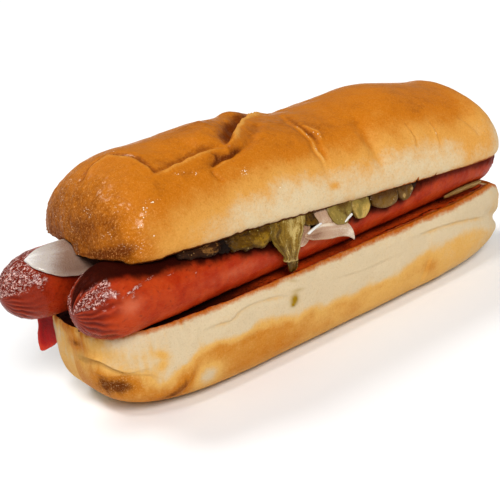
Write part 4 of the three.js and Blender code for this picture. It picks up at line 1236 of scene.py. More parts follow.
def crownOutside(x, angle):
    # The dome: half an ellipse over the rim, y = -reach cos(angle), z = low + swell sin(angle).
    # Below angle 0 and above pi the profile turns in to the rim over a further rimTurn.
    part = crown
    full = endShape(x, part)
    dome = np.clip(angle, 0, np.pi)
    below = np.clip(np.maximum(-angle, angle - np.pi) / part["rimTurn"], 0, 1)
    frontLift, backLift = rimLift(x, part["frontLift"]), rimLift(x, part["backLift"])
    lift = mix(frontLift, backLift, smooth(dome, 0, np.pi))
    low = mix(lift, part["widest"], full ** 2)
    swell = (crownHeight(x) - low) * full ** part["endPower"]
    reach = np.maximum(part["halfWidth"] * full, part["leastReach"])
    reach = reach - np.minimum(part["rimInset"], reach - part["leastReach"]) * below ** 2
    z = low + part["rimHeight"] + swell * np.sin(dome)
    z = mix(z, np.where(angle < np.pi / 2, frontLift, backLift), below)
    return np.stack([x, -reach * np.cos(dome), z], -1), full


def crownUnder(x, y, tips):
    # Height of the underside: the level cut, or the top of whatever room reaches above it.
    part = crown
    rim = np.maximum(part["halfWidth"] * endShape(x, part) - part["rimInset"], part["leastReach"])
    share = np.clip(y / rim / 2 + 0.5, 0, 1)
    height = mix(rimLift(x, part["frontLift"]), rimLift(x, part["backLift"]), share)
    for sausage, rooms in tips:
        clearance = np.full(x.shape, part["clearance"])
        for room in rooms:
            edge = np.minimum(x - room["from"], room["to"] - x)
            clearance = np.maximum(clearance, room["depth"] * smooth(edge, 0, room["blend"]))
        over, middle = roomOver(sausage, x, y, clearance)
        height = np.maximum(height, np.where(over > 0, middle + over, height))
    return height


def makeCrown():
    # Rings across the roll: the dome from the front edge to the back edge, then the underside
    # back to the front. The edges are where the dome first clears the underside.
    part, bake = crown, crownBaking
    turned, lifted = crownPlacement()
    tips = []
    for sausage in (frontSausage, rearSausage):
        ends = {end: (sausage[end] - lifted) @ turned for end in ("tip", "end")}
        tips.append(({**sausage, **ends}, [room for room in toppingRooms if room["on"] is sausage]))
    stations = evenStations(part, part["rings"])

    def clearFrom(angles):
        # For each station the first angle, going inwards from a rim, after which the dome
        # stays above the underside.
        x, angle = np.meshgrid(stations, angles, indexing="ij")
        points, _ = crownOutside(x, angle)
        ragged = sum(lumps(points, wave) for wave in part["edgeWaves"])
        ragged = ragged * smooth(points[..., 2], *part["edgeWaveHeights"])
        under = crownUnder(x, points[..., 1], tips) + ragged
        blocked = points[..., 2] <= under + part["touching"]
        last = angle.shape[1] - 1 - np.argmax(blocked[:, ::-1], axis=1)
        return np.where(blocked.any(1), angles[np.minimum(last + 1, len(angles) - 1)], angles[0])

    frontEdge = clearFrom(np.linspace(-part["rimTurn"], np.pi / 2, part["edgeSteps"]))[:, None]
    backEdge = np.pi - frontEdge
    steps = np.linspace(0, 1, part["outerSteps"])
    closer = mix(steps, smooth(steps, 0, 1), part["rimSteps"])
    x, share = np.meshgrid(stations, closer, indexing="ij")
    angle = mix(frontEdge, backEdge, share)
    dome, full = crownOutside(x, angle)
    slope = np.gradient(part["halfWidth"] * full[:, 0], stations)[:, None]
    outward = np.stack([-slope * np.ones_like(x), -np.cos(angle), np.sin(angle)], -1)
    outward /= np.linalg.norm(outward, axis=-1, keepdims=True)
    arc = np.degrees(angle) * arcPerDegree
    folds = [dict(f, line=[(u, v * arcPerDegree) for u, v in f["line"]]) for f in crownFolds]
    # The folds wander a little, and the crust round them is crumpled.
    foldX, foldArc = (place + lumps(dome, wander) for place, wander in zip((x, arc), part["wander"]))
    rise = foldHeight(foldX, foldArc, folds)
    valley = smooth(rise, *part["valleys"])
    rise += np.clip(spots(x, arc, crumpledPlaces), 0, 1) * lumps(dome, part["crumple"])
    rise += lumps(dome, part["swell"]) + lumps(dome, part["lumps"])
    gap = np.degrees(np.minimum(angle - frontEdge, backEdge - angle)) * arcPerDegree
    rise -= part["lip"] * np.exp(-(gap / part["lipWidth"]) ** 2)
    coarse = smooth(x - lumps(dome, part["coarseEdge"]), *part["coarseFrom"])
    rise += lumps(dome, part["coarseLumps"]) * coarse
    flaky = smooth(gap, *part["flakeWidth"]) * smooth(x, *part["flakesFrom"])
    rise += lumps(dome, part["flakes"]) * flaky
    dome = dome + outward * rise[..., None]
    # The underside, from the back edge to the front edge.
    inner = np.linspace(0, 1, part["underSteps"] + 2)[1:-1]
    under = mix(dome[:, -1:], dome[:, :1], inner[:, None])
    level = crownUnder(under[..., 0], under[..., 1], tips)
    fromRim = np.minimum(inner, 1 - inner)
    rough = lumps(under, part["underLumps"]) * smooth(full[:, :1], *part["underLumpEnds"])
    rough *= smooth(fromRim, *part["underLumpsFrom"])
    under[..., 2] = mix(under[..., 2], level, smooth(fromRim, *part["underRim"])) + rough
    rings = np.concatenate([dome, under], 1)
    # Where it is browned, with painted shade and highlight at the folds, toasted and coarse.
    degreesRound = np.degrees(angle)
    patchy = lumps(dome, bake["patches"])

    def bakedOver(places, degreesUp):
        # Baking by the angle over one rim: from the rim's own value to the top's, eased.
        where, *columns = zip(*places)
        rim, start, end = (np.interp(x, where, column) for column in columns)
        return mix(rim, valueAt(x, topBaking), smooth(degreesUp + bake["rimRag"] * patchy, start, end))

    baked = mix(
        bakedOver(frontBaking, degreesRound),
        bakedOver(backBaking, 180 - degreesRound),
        smooth(degreesRound, *bake["frontToBack"]),
    )
    # Painted shade and highlight: the folds' shades, and darker in the fold valleys.
    baked += spots(x, arc, crownSpots) + foldShade(foldX, foldArc, folds)
    baked += bake["patchTint"] * patchy + bake["valleyShade"] * valley
    ragged = bake["toastRag"] * lumps(dome, bake["ragged"])
    band = bake["band"] + lumps(dome, bake["bandChange"])
    for more, start, end in bake["widerBands"]:
        band += more * smooth(x, start, end)
    toasted = smooth(band + ragged - gap, *bake["toastFade"])
    toasted = np.maximum(toasted, smooth(x + ragged, *bake["toastedTip"]))
    # Painted sparkle: highlight specks on the coarse left end, carried by the glinting mask.
    sparkling = bake["sparkle"] * coarse
    sparkling *= smooth(lumps(dome, bake["sparklePatches"]), *bake["sparkleFrom"])
    # Soaked with juice and darkened with painted shade: at both rims towards the left, by the gap over the
    # sausages, and over the whole underside.
    soaked = bake["soakedShadedRim"] * smooth(gap, *bake["soakedShadedGap"]) * smooth(x, *bake["soakedShadedFrom"])
    flat = np.zeros(under.shape[:2])
    masks = {
        "baked": (baked, flat),
        "toasted": (toasted, flat + smooth(fromRim, *bake["underToast"])),
        "gritty": (coarse * (bake["grit"] + bake["gritChange"] * patchy), flat),
        "crumb": (np.zeros_like(x), flat + smooth(fromRim, *bake["crumbFrom"])),
        "soaked": (soaked, flat + bake["soakedShadedUnder"]),
        "glinting": (np.maximum(spots(x, arc, crownGlints), sparkling), flat),
    }
    masks = {key: np.concatenate(parts, 1) for key, parts in masks.items()}
    addPiece("crown_bread", rings @ turned.T + lifted, crustFinish, masks, ["bun_crown"])


makeCrown()


# What the finishes of the filling share.
fleshLooks = {
    "fineSize": 0.45, "deepToMain": (0.0, 0.5), "mainToLight": (0.5, 1.0), "rindFrom": (0.7, 1.0),
    "seedSize": 1.0, "seedWidth": 0.34, "roughGrain": 0.3, "coatRoughness": 0.1, "specular": 0.15,
    "glowRadius": (0.8, 0.8, 0.4), "glowScale": 0.0015, "depth": 0.25,
}


def makeSliceFinish(name, looks):
    # Wet vegetable flesh, from deep through main to light by the tone mask, with fibres along
    # the piece, light seeds, a rind of its own colour at the edges, and a wet coat.
    material, tree, shader, place = newFinish(name, looks)
    streak = useGroup(tree, fibres, {
        "Across": maskOf(tree, "across"), "Along": maskOf(tree, "along"),
        "Count": looks["fibres"], "Stretch": looks["stretch"],
    })["Value"]
    patch = useGroup(tree, mottle, {
        "Place": place, "Size": looks["patch"], "Fine size": looks["fineSize"],
    })
    tone = added(
        tree,
        maskOf(tree, "tone"),
        scaled(tree, patch["Broad"], looks["uneven"]),
        scaled(tree, patch["Fine"], looks["uneven"]),
        scaled(tree, maths(tree, "SUBTRACT", streak, 0.5), looks["streak"]),
    )
    flesh = blend(tree, span(tree, tone, *looks["deepToMain"]), looks["deep"], looks["main"])
    flesh = blend(tree, span(tree, tone, *looks["mainToLight"]), flesh, looks["light"])
    rind = scaled(tree, span(tree, maskOf(tree, "edge"), *looks["rindFrom"]), looks["rindShare"])
    flesh = blend(tree, rind, flesh, looks["rind"])
    seeds = useGroup(tree, pores, {
        "Place": place, "Size": looks["seedSize"], "Width": looks["seedWidth"],
        "Share": looks["seeds"],
    })["Mask"]
    flesh = blend(tree, seeds, flesh, looks["seed"])
    tree.links.new(flesh, shader.inputs["Base Color"])
    grain = scaled(tree, patch["Fine"], looks["roughGrain"])
    rough = maths(tree, "ADD", looks["rough"], grain, clamp=True)
    tree.links.new(rough, shader.inputs["Roughness"])
    relief = added(tree, scaled(tree, streak, looks["relief"]), patch["Fine"], seeds)
    putBump(tree, shader, relief, looks["depth"])
    return material


pickleLooks = {
    **fleshLooks,
    "deep": colour(52, 30, 1), "main": colour(94, 64, 2), "light": colour(144, 110, 26),
    "rind": colour(56, 38, 2), "rindShare": 0.6, "seed": colour(206, 186, 110), "seeds": 0.12,
    "fibres": 6.0, "stretch": 2.4, "patch": 2.6, "streak": 0.35, "uneven": 0.8,
    "glow": 0.08, "rough": 0.34, "relief": 0.6, "coat": 0.2,
}
pickleFinish = makeSliceFinish("dark pickle", pickleLooks)
drapeFinish = makeSliceFinish("hanging pickle", {
    **pickleLooks, "deep": colour(88, 62, 8), "main": colour(132, 102, 34), "light": colour(188, 164, 104),
    "rind": colour(108, 92, 30), "rindShare": 0.4, "seeds": 0.25, "fibres": 9.0, "stretch": 2.0,
    "streak": 0.65, "uneven": 0.9, "relief": 0.9,
})
palePickleFinish = makeSliceFinish("pale pickle", {
    **pickleLooks, "deep": colour(92, 66, 20), "main": colour(138, 118, 58), "light": colour(194, 162, 90),
    "rind": colour(116, 92, 40), "rindShare": 0.35, "seeds": 0.14, "fibres": 4.0, "stretch": 1.6,
    "streak": 0.25, "uneven": 0.5, "glow": 0.2, "relief": 0.4,
})
onionLooks = {
    **fleshLooks,
    "deep": colour(138, 112, 96), "main": colour(186, 176, 168), "light": colour(228, 225, 220),
    "rind": colour(204, 194, 182), "rindShare": 0.3, "seed": colour(230, 222, 210), "seeds": 0.0,
    "fibres": 4.0, "stretch": 0.6, "patch": 6.0, "streak": 0.14, "uneven": 0.25,
    "glow": 0.2, "rough": 0.24, "relief": 0.15, "coat": 0.35,
}
onionFinish = makeSliceFinish("onion", onionLooks)
steepedOnionFinish = makeSliceFinish("steeped onion", {
    **onionLooks, "deep": colour(138, 98, 72), "main": colour(182, 150, 124), "light": colour(220, 204, 184),
    "rind": colour(200, 172, 138), "streak": 0.2, "uneven": 0.4,
})
relishFinish = makeSliceFinish("dark relish", {
    **pickleLooks, "deep": colour(22, 7, 1), "main": colour(58, 30, 8), "light": colour(132, 92, 46),
    "rind": colour(26, 10, 2), "rindShare": 0.5, "seed": colour(160, 126, 80), "seeds": 0.1, "patch": 1.6,
    "rough": 0.6, "coat": 0.05, "glow": 0.02,
})
brownPickleFinish = makeSliceFinish("brown pickle", {
    **pickleLooks, "deep": colour(76, 44, 4), "main": colour(114, 82, 26), "light": colour(168, 136, 82),
    "rind": colour(72, 46, 6), "rindShare": 0.5, "seed": colour(222, 208, 180), "seeds": 0.1, "streak": 0.15,
    "uneven": 0.5, "fibres": 3.0, "relief": 0.3, "coat": 0.3,
})
pepperFinish = makeSliceFinish("red pepper", {
    **pickleLooks, "deep": colour(122, 1, 1), "main": colour(164, 3, 1), "light": colour(196, 50, 16),
    "rind": colour(196, 70, 52), "rindShare": 0.5, "seed": colour(214, 90, 60), "seeds": 0.0,
    "fibres": 4.0, "patch": 5.0, "streak": 0.2, "uneven": 0.3, "glow": 0.15, "rough": 0.2, "relief": 0.2,
})
print("filling finishes built")

# What lies on the sausages. Each piece lies between two edges, given as (x, angle down from the
# top towards the front).
# height: of its middle over the skin, from its start to its end; thick: half its thickness;
# ragged: how uneven the outline is; ribs: ridges along it; curl: rise of its edges; lump: swelling;
# tone: 0 deep, 0.5 main, 1 light; ends: how squarely both ends are cut;
# shades: (along, across, half length, half width, turn, change of tone).
plainSlice = {"on": frontSausage, "slot": "pickle", "curl": 0.0, "shades": []}
toppings = {
    "onion_slice": {
        "on": rearSausage, "finish": onionFinish, "slot": "onion", "height": (1.1, 1.5), "thick": 0.55,
        "ragged": 0.02, "ribs": 0.02, "lump": 0.05, "tone": 0.95, "ends": 5,
        # Its first shade darkens the right part as painted shadow of the crown.
        "shades": [(1.0, 0.5, 0.6, 1.5, 0, -1.3), (0.5, 0.95, 0.5, 0.25, 0, -0.2)],
        "from": [(-105.3, 17), (-101.1, 9), (-97.6, 6), (-94, 6), (-88, 8), (-80, 10), (-70, 12)],
        "to": [(-105.4, 20), (-104.7, 38), (-102.2, 53), (-99, 64), (-95, 72), (-88, 78), (-78, 80)],
    },
    "relish_dark": {
        "finish": relishFinish, "slot": "relish", "height": (1.4, 1.6), "thick": 1.0,
        "ragged": 0.25, "ribs": 0.15, "lump": 0.5, "tone": 0.3, "ends": 6,
        "shades": [(0.6, 0.7, 0.2, 0.2, 0, 0.5)],
        "from": [(-70, 36), (-64.3, 34), (-60.6, 34), (-56.4, 38), (-52.8, 39)],
        "to": [(-70.2, 51), (-65.8, 54), (-62.0, 57), (-58.2, 61), (-54.6, 60)],
    },
    "pickle_left": {
        "finish": pickleFinish, "height": (1.4, 1.8), "thick": 1.2,
        "ragged": 0.14, "ribs": 0.2, "curl": -0.2, "lump": 0.45, "tone": 0.3, "ends": 5,
        "shades": [(0.6, 0.8, 0.3, 0.2, 0, 0.3), (0.0, 0.5, 0.3, 0.8, 0, -0.35)],
        "from": [(-52.6, 36), (-47.6, 34), (-43.5, 34), (-39.6, 34)],
        "to": [(-53.2, 58), (-50.0, 66), (-46.5, 71), (-42.7, 74)],
    },
    "pickle_middle": {
        "finish": pickleFinish, "height": (1.7, 2.0), "thick": 1.3,
        "ragged": 0.12, "ribs": 0.25, "curl": -0.2, "lump": 0.45, "tone": 0.5, "ends": 5,
        "shades": [(0.5, 0.75, 0.3, 0.2, 0, 0.5), (0.6, 0.3, 0.4, 0.25, 0, -0.3)],
        "from": [(-43.2, 36), (-39.1, 37), (-35.7, 37), (-31.6, 38)],
        "to": [(-45.2, 67), (-42.5, 73), (-39.8, 76), (-35.8, 75)],
    },
    "pickle_drape": {
        "finish": drapeFinish, "height": (2.0, 2.4), "thick": 0.9,
        "ragged": 0.08, "ribs": 0.28, "curl": 0.5, "lump": 0.5, "tone": 0.45, "ends": 12,
        "shades": [(0.98, 0.5, 0.07, 1.2, 0, 0.7), (0.6, 0.95, 0.5, 0.14, 0, 0.35),
                   (0.3, 0.1, 0.3, 0.3, 0, -0.35), (0.55, 0.3, 0.25, 0.05, 20, 0.5),
                   (0.4, 0.65, 0.3, 0.04, 10, 0.4), (0.2, 0.55, 0.2, 0.3, 0, 0.3)],
        "from": [(-32.5, 34), (-34.2, 49), (-35.6, 60), (-36.1, 71), (-34.9, 83), (-33.4, 93), (-32.4, 100),
                 (-33.8, 105)],
        "to": [(-18.5, 34), (-19.3, 51), (-21.1, 65), (-22.8, 77), (-24.6, 86), (-26, 97), (-26.4, 107),
               (-24.9, 116)],
    },
    "pickle_dark": {
        "finish": pickleFinish, "height": (1.8, 2.2), "thick": 1.0,
        "ragged": 0.05, "ribs": 0.15, "lump": 0.25, "tone": 0.3, "ends": 8,
        "shades": [(0.9, 0.5, 0.2, 0.5, 0, 0.25)],
        "from": [(-19.8, 36), (-19.8, 50), (-20.8, 58), (-21.2, 64), (-21.4, 71)],
        "to": [(-14.8, 36), (-15.2, 50), (-15.8, 63), (-15.4, 70), (-15.1, 76)],
    },
    "onion_upper": {
        "finish": steepedOnionFinish, "slot": "onion", "height": (1.5, 1.7),
        "thick": 0.6, "ragged": 0.03, "ribs": 0.08, "lump": 0.1, "tone": 0.45, "ends": 8,
        "shades": [(0.3, 0.6, 0.3, 0.4, 0, 0.15), (0.9, 0.5, 0.2, 0.6, 0, 0.2)],
        "from": [(-14.6, 34), (-14.8, 47), (-15.6, 57), (-15.8, 67), (-15.8, 84)],
        "to": [(-6.6, 34), (-7.1, 49), (-8.2, 61), (-8.6, 73), (-8.8, 92)],
    },
    "onion_boat": {
        "finish": steepedOnionFinish, "slot": "onion", "height": (1.8, 1.9),
        "thick": 0.85, "ragged": 0.02, "ribs": 0.08, "curl": 0.35, "lump": 0.12, "tone": 0.5, "ends": 9,
        "shades": [(0.3, 0.1, 0.16, 0.1, 0, 0.8), (0.2, 0.6, 0.25, 0.5, 0, -0.35),
                   (0.9, 0.5, 0.14, 0.6, 0, 0.4), (0.6, 0.4, 0.3, 0.5, 0, 0.2)],
        "from": [(-22.0, 80), (-18.5, 77), (-14.8, 76), (-8.6, 81), (-3.6, 87), (-0.6, 99), (3.0, 127)],
        "to": [(-22.4, 87), (-18.8, 94), (-15.1, 98), (-10.4, 103), (-6.0, 106), (-1.7, 113), (3.2, 129)],
    },
    "onion_small": {
        "finish": steepedOnionFinish, "slot": "onion", "height": (1.5, 1.6),
        "thick": 0.55, "ragged": 0.04, "ribs": 0.05, "curl": 0.2, "lump": 0.1, "tone": 0.25, "ends": 8,
        "shades": [(0.97, 0.5, 0.1, 0.6, 0, 0.6)],
        "from": [(-20.2, 60), (-22.1, 75), (-23.9, 85), (-25.1, 96)],
        "to": [(-17.6, 64), (-19.2, 79), (-19.8, 90), (-22.8, 99)],
    },
    "pickle_green": {
        "finish": palePickleFinish, "slot": "pickle_pale", "height": (1.9, 2.3),
        "thick": 0.85, "ragged": 0.05, "ribs": 0.15, "curl": 0.2, "lump": 0.2, "tone": 0.5, "ends": 14,
        "shades": [(0.35, 0.6, 0.22, 0.5, 0, -0.5), (0.6, 0.25, 0.3, 0.2, 0, 0.2),
                   (0.75, 0.75, 0.3, 0.05, 60, -0.3)],
        "from": [(-9.4, 36), (-9.8, 52), (-10.2, 63), (-9.8, 73), (-8.2, 86)],
        "to": [(3.0, 36), (2.3, 57), (0.8, 69), (-0.9, 79), (-3.2, 90)],
    },
    "pickle_cream": {
        "finish": palePickleFinish, "slot": "pickle_pale", "height": (1.6, 2.0),
        "thick": 1.1, "ragged": 0.08, "ribs": 0.1, "curl": 0.2, "lump": 0.2, "tone": 0.85, "ends": 14,
        "shades": [(0.15, 0.5, 0.25, 0.8, 0, -0.7), (0.7, 0.35, 0.2, 0.16, 0, -0.3)],
        "from": [(1.8, 44), (1.4, 60), (0.9, 71), (1.0, 80), (2.0, 90)],
        "to": [(9.6, 52), (9.5, 70), (9.3, 77), (7.7, 85), (5.6, 92)],
    },
    "pickle_brown": {
        "finish": brownPickleFinish, "height": (1.6, 1.9),
        "thick": 1.1, "ragged": 0.05, "ribs": 0.15, "lump": 0.3, "tone": 0.4, "ends": 7,
        "shades": [(0.75, 0.5, 0.3, 0.4, 0, 0.2), (0.35, 0.5, 0.2, 0.6, 0, -0.35)],
        "from": [(10.8, 48), (10.4, 64), (10.0, 74), (10.6, 81), (13.2, 89)],
        "to": [(24.0, 48), (23.8, 66), (23.6, 78), (22.8, 87), (19.0, 93)],
    },
    "pickle_end": {
        "finish": brownPickleFinish, "height": (1.6, 1.8),
        "thick": 1.0, "ragged": 0.08, "ribs": 0.2, "lump": 0.35, "tone": 0.3, "ends": 7,
        # Its first two shades are painted glints (highlights).
        "shades": [(0.72, 0.3, 0.1, 0.1, 0, 1.4), (0.5, 0.85, 0.07, 0.1, 0, 1.2),
                   (0.3, 0.5, 0.2, 0.5, 0, -0.2)],
        "from": [(23.2, 52), (23.5, 69), (23.8, 77), (24.4, 86), (25.6, 93)],
        "to": [(31, 52), (31.6, 71), (31.8, 79), (30.6, 86), (28.4, 92)],
    },
    "pickle_strip": {
        "finish": brownPickleFinish, "slot": "pickle_pale", "height": (0.9, 0.9),
        "thick": 0.6, "ragged": 0.08, "ribs": 0.05, "lump": 0.15, "tone": 1.0, "ends": 4,
        "from": [(52.6, 128), (57.8, 126), (63.2, 125), (69.6, 126), (76, 128)],
        "to": [(54.6, 141), (61.5, 142), (66.9, 142), (72.5, 141), (77, 140)],
    },
}
# Loose bits among them, made in the same way.
looseBits = {
    "relish_chip": {
        **toppings["relish_dark"], "height": (2.0, 2.1), "thick": 0.7, "tone": 0.85, "shades": [],
        "from": [(-61.6, 44), (-59.1, 44), (-57.0, 45), (-54.6, 47)],
        "to": [(-62.1, 54), (-60.1, 57), (-58.1, 59), (-55.8, 58)],
    },
    "relish_crumb": {
        **toppings["relish_dark"], "height": (1.4, 1.6), "tone": 0.0, "shades": [],
        "from": [(-56.1, 36), (-53.0, 36), (-50.0, 36)],
        "to": [(-57.0, 58), (-54.4, 62), (-51.2, 63)],
    },
    # A dark sheet under the crown's rim that stands in for shade there: painted shade in relish colour.
    "relish_bed": {
        **toppings["relish_dark"], "height": (0.8, 0.8), "thick": 0.7, "tone": 0.35, "shades": [],
        "from": [(-12, 36), (0.7, 38), (10.0, 42), (19.4, 46), (27.1, 48), (37, 52)],
        "to": [(-10, 62), (-0.6, 70), (8.5, 78), (17.6, 84), (25.4, 88), (34.5, 86)],
    },
    "pickle_bed": {
        **toppings["pickle_left"], "height": (0.9, 0.9), "thick": 0.8, "tone": 0.15, "shades": [],
        "from": [(-54, 36), (-40, 36), (-28, 36), (-16, 36)],
        "to": [(-52, 60), (-40, 68), (-30, 66), (-17, 60)],
    },
    "pickle_tip": {
        **toppings["pickle_drape"], "height": (1.7, 2.3), "thick": 0.6, "tone": 0.1, "ends": 5, "shades": [],
        "from": [(-31.0, 98), (-30.8, 104), (-29.9, 115), (-28.4, 128), (-27.0, 138)],
        "to": [(-26.0, 106), (-25.6, 113), (-24.9, 125), (-24.6, 136), (-25.6, 142)],
    },
    # Two thin light pieces along the onion boat's edge: partly its pale rim and partly painted highlight.
    "onion_sliver": {
        **toppings["onion_boat"], "finish": onionFinish, "height": (3.1, 3.2), "thick": 0.4,
        "tone": 0.9, "curl": 0.0, "shades": [],
        "from": [(-4.9, 85), (-2.9, 80.5), (-0.9, 77)],
        "to": [(-4.3, 86.5), (-2.3, 83), (-0.4, 80)],
    },
    "onion_edge": {
        **toppings["onion_boat"], "finish": onionFinish, "height": (2.9, 3.0), "thick": 0.35,
        "tone": 0.95, "curl": 0.0, "shades": [],
        "from": [(-21.4, 80), (-18, 76), (-14.9, 73.5)],
        "to": [(-21.1, 83), (-17.8, 79), (-14.4, 76)],
    },
}
# The grid of each slice, and the patterns of lumps that its ragged, ribs and lump values scale.
sliceGrid = {
    "steps": 64, "sides": 56, "power": 3.4, "endPower": 2.2, "skinRadius": 12,
    "raggedPattern": (1.0, 2.2, 0, 3, [1, 1, 0.3]), "ribPattern": (1.0, 1.0, 3, 2),
    "ribsAlong": 1.5, "ribsAcross": 4.5, "lumpPattern": (1.0, 3.0, 6, 3), "lumpShare": 0.5,
    "upperSide": (0.1, 0.6), "onSkin": (0.005, 0.995), "edgePower": 3,
}
sliceSeed, looseSeed, seedStep = 300, 700, 20


def flatRings(steps, sides, ends):
    # Rings of a flat slice: the share along it, the place across it and through it on a ring
    # |a|^p + |b|^p = 1, and its width there, (1 - |2s - 1|^q)^(1/r).
    share = closerAtEnds(steps + 2)[1:-1, None]
    turn = np.linspace(0, 2 * np.pi, sides, endpoint=False)[None]
    out, up = roundedRing(turn, sliceGrid["power"])
    rounded = (1 - np.abs(2 * share - 1) ** ends) ** (1 / sliceGrid["endPower"])
    return share, out, up, rounded


def makeTopping(name, piece, seed, stands):
    # A flat slice that bends with the skin: its outline runs between its two eased edges, and its
    # rings stand on the skin, each at its own height.
    piece, grid = {**plainSlice, **piece}, sliceGrid
    sausage = piece["on"]
    share, out, up, rounded = flatRings(grid["steps"], grid["sides"], piece["ends"])
    first, second = (
        np.stack([eased(values, share[:, 0] * (len(piece[side]) - 1)) for values in zip(*piece[side])], -1)
        for side in ("from", "to")
    )
    middle, half = (first + second) / 2, (second - first) / 2
    flat = middle[:, None] + half[:, None] * (out * rounded)[..., None]
    thick = piece["thick"]
    around = np.radians(flat[..., 1]) * grid["skinRadius"]
    place = np.stack(np.broadcast_arrays(flat[..., 0], around, up * thick), -1)
    uneven = 1 + piece["ragged"] * lumps(place, grid["raggedPattern"], seed)
    flat = middle[:, None] + half[:, None] * (out * rounded * uneven)[..., None]
    ridges = np.stack(
        np.broadcast_arrays(share * grid["ribsAlong"], out * grid["ribsAcross"], 0.0), -1,
    )
    ribs = piece["ribs"] * lumps(ridges, grid["ribPattern"], seed)
    lump = grid["lumpShare"] * piece["lump"] * lumps(place, grid["lumpPattern"], seed)
    rise = mix(*piece["height"], share) + up * thick * rounded * (1 + lump)
    rise += (ribs + lump) * smooth(up, *grid["upperSide"])
    rise += piece["curl"] * out ** 2 * rounded
    length = sausage["end"][0] - sausage["tip"][0]
    along = np.clip((flat[..., 0] - sausage["tip"][0]) / length, *grid["onSkin"])
    rings = onSkin(sausage, along, np.radians(flat[..., 1]), rise)
    acrossShare, alongShare = np.broadcast_arrays(out * 0.5 + 0.5, share)
    masks = {
        "across": acrossShare,
        "along": alongShare,
        "edge": np.maximum(np.abs(out), np.abs(2 * share - 1) ** grid["edgePower"]),
        "tone": piece["tone"] + spots(alongShare, acrossShare, piece["shades"]),
    }
    addPiece(name, rings, piece["finish"], masks, stands)


for number, (name, piece) in enumerate(toppings.items()):
    makeTopping(name + "_slice", piece, sliceSeed + seedStep * number, [name])
for number, (name, piece) in enumerate(looseBits.items()):
    makeTopping(name, piece, looseSeed + seedStep * number, [])


# Red pepper strip past the back left corner: its ends, the way across it, half its width along
# it, and its lumps. tones: (more tone, from, to), along it and then across it.
pepper = {
    "top": np.array([-95.7, 16.2, 33.4]), "bottom": np.array([-96.6, 18.4, 17.0]), "curl": 1.2,
    "across": np.array([0.86, -0.51, 0.0]), "halfWidths": [2.9, 3.0, 3.1, 3.2, 3.3, 2.8],
    "halfThickness": 0.9, "slant": 1.1, "edgeCurl": 0.5, "steps": 70, "sides": 48, "ends": 14,
    "lumps": (1.0, 3.0, 401, 3), "lumpsAcross": 3, "lumpsAlong": 16, "edgeLumps": 0.06,
    "faceLumps": 0.15, "tone": 0.3, "tones": [(0.5, 0.6, 1.0), (0.3, 0.7, 1.0)],
}


def makePepper():
    # A strip between two points, bowed outwards as half a sine wave, with a flat rounded ring
    # of eased width across it, and a cut that slants up towards the roll.
    facing = np.cross(pepper["across"], [0, 0, 1.0])
    facing /= np.linalg.norm(facing)
    share, out, up, rounded = flatRings(pepper["steps"], pepper["sides"], pepper["ends"])
    width = eased(pepper["halfWidths"], share * (len(pepper["halfWidths"]) - 1))
    middle = mix(pepper["top"], pepper["bottom"], share[..., None])
    places = np.broadcast_arrays(out * pepper["lumpsAcross"], share * pepper["lumpsAlong"], up)
    lump = lumps(np.stack(places, -1), pepper["lumps"])
    reach = width * rounded * out * (1 + pepper["edgeLumps"] * lump)
    thick = pepper["halfThickness"] * rounded * (1 + pepper["faceLumps"] * (lump - 1))
    bow = pepper["curl"] * np.sin(np.pi * share) + pepper["edgeCurl"] * out ** 2 * rounded
    rise = bow + up * thick
    rings = middle - pepper["across"] * reach[..., None] + facing * rise[..., None]
    rings[..., 2] -= pepper["slant"] * (reach / width) * share ** 3
    acrossShare, alongShare = np.broadcast_arrays(out * 0.5 + 0.5, share)
    tone = pepper["tone"]
    for place, (more, start, end) in zip((alongShare, acrossShare), pepper["tones"]):
        tone = tone + more * smooth(place, start, end)
    masks = {
        "across": acrossShare,
        "along": alongShare,
        "edge": np.abs(out) * np.ones_like(share),
        "tone": tone,
    }
    addPiece("pepper_slice", rings, pepperFinish, masks, ["pepper_strip"])


makePepper()
print("filling built")


# The camera: angles in degrees, distance and aim in millimetres, lens in millimetres.
camera = {
    "heading": 53.194, "elevation": 21.25, "roll": -6.684, "distance": 363.947,
    "aim": (-18.171, 26.612), "lens": 70.65, "nearest": 10,
}


def makeCamera():
    # The aim is given to the right of the roll's middle, as seen, and above the base.
    heading, elevation, roll = (np.radians(camera[key]) for key in ("heading", "elevation", "roll"))
    forward = np.array([np.cos(heading) * np.cos(elevation), np.sin(heading) * np.cos(elevation),
                        -np.sin(elevation)])
    right = np.array([np.sin(heading), -np.cos(heading), 0])
    up = np.cross(right, forward)
    aimRight, aimUp = camera["aim"]
    place = right * aimRight + np.array([0, 0, aimUp]) - camera["distance"] * forward
    turnedRight = np.cos(roll) * right + np.sin(roll) * up
    turnedUp = np.cos(roll) * up - np.sin(roll) * right
    matrix = np.eye(4)
    matrix[:3, 0], matrix[:3, 1], matrix[:3, 2] = turnedRight, turnedUp, -forward
    matrix[:3, 3] = (place + rollShift) * millimetre
    data = bpy.data.cameras.new("camera")
    data.lens = camera["lens"]
    data.clip_start = camera["nearest"] * millimetre
    lensObject = bpy.data.objects.new("camera", data)
    lensObject.matrix_world = Matrix(matrix.tolist())
    bpy.context.scene.collection.objects.link(lensObject)
    bpy.context.scene.camera = lensObject


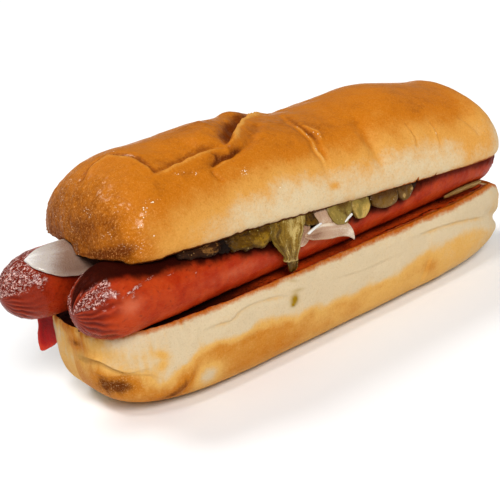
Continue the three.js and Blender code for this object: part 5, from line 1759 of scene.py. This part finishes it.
# Soft studio light: large far lamps, each with the direction it comes from, its strength and its
# apparent width in degrees, which softens shadows and highlights.
lights = {
    "front softbox": {"from": (-0.28, -0.65, 0.63), "strength": 2.0, "width": 26},
    "overhead softbox": {"from": (-0.31, 0.48, 0.82), "strength": 1.1, "width": 18},
    "top lamp": {"from": (-0.42, -0.12, 0.9), "strength": 0.5, "width": 9},
}
surroundings = {"colour": (1, 1, 1, 1), "strength": 0.2}


def makeLights():
    # Each lamp shines from its own direction, and the surroundings light the rest.
    for name, light in lights.items():
        data = bpy.data.lights.new(name, "SUN")
        data.angle = np.radians(light["width"])
        data.energy = light["strength"]
        lamp = bpy.data.objects.new(name, data)
        lamp.rotation_mode = "QUATERNION"
        lamp.rotation_quaternion = Vector(light["from"]).to_track_quat("Z", "Y")
        bpy.context.scene.collection.objects.link(lamp)
    world = bpy.data.worlds.new("studio")
    world.use_nodes = True
    background = world.node_tree.nodes["Background"]
    background.inputs["Color"].default_value = surroundings["colour"]
    background.inputs["Strength"].default_value = surroundings["strength"]
    bpy.context.scene.world = world
    bpy.context.scene.view_settings.view_transform = "Standard"
    bpy.context.scene.view_settings.look = "Medium High Contrast"


# The floor, in metres: it lies just under the roll, and its edge shows only as a thin line in views
# from about 15 degrees up or lower.
floorLooks = {"half": 40.0, "height": -0.0002, "colour": (0.9, 0.9, 0.9, 1), "roughness": 0.8}


def makeFloor():
    # A flat square.
    material = newFinish("pale floor", floorLooks)[0]
    half, low = floorLooks["half"], floorLooks["height"]
    mesh = bpy.data.meshes.new("floor")
    mesh.from_pydata([(-half, -half, low), (half, -half, low), (half, half, low), (-half, half, low)],
                     [], [(0, 1, 2, 3)])
    mesh.materials.append(material)
    floor = bpy.data.objects.new("floor", mesh)
    bpy.context.scene.collection.objects.link(floor)
    floor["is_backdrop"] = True


makeCamera()
makeLights()
makeFloor()
print("camera, light and floor set")

low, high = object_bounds()
for box, size in (("cad box", cadHigh - cadLow), ("visual box", high - low)):
    print(box, [round(length, 4) for length in size])
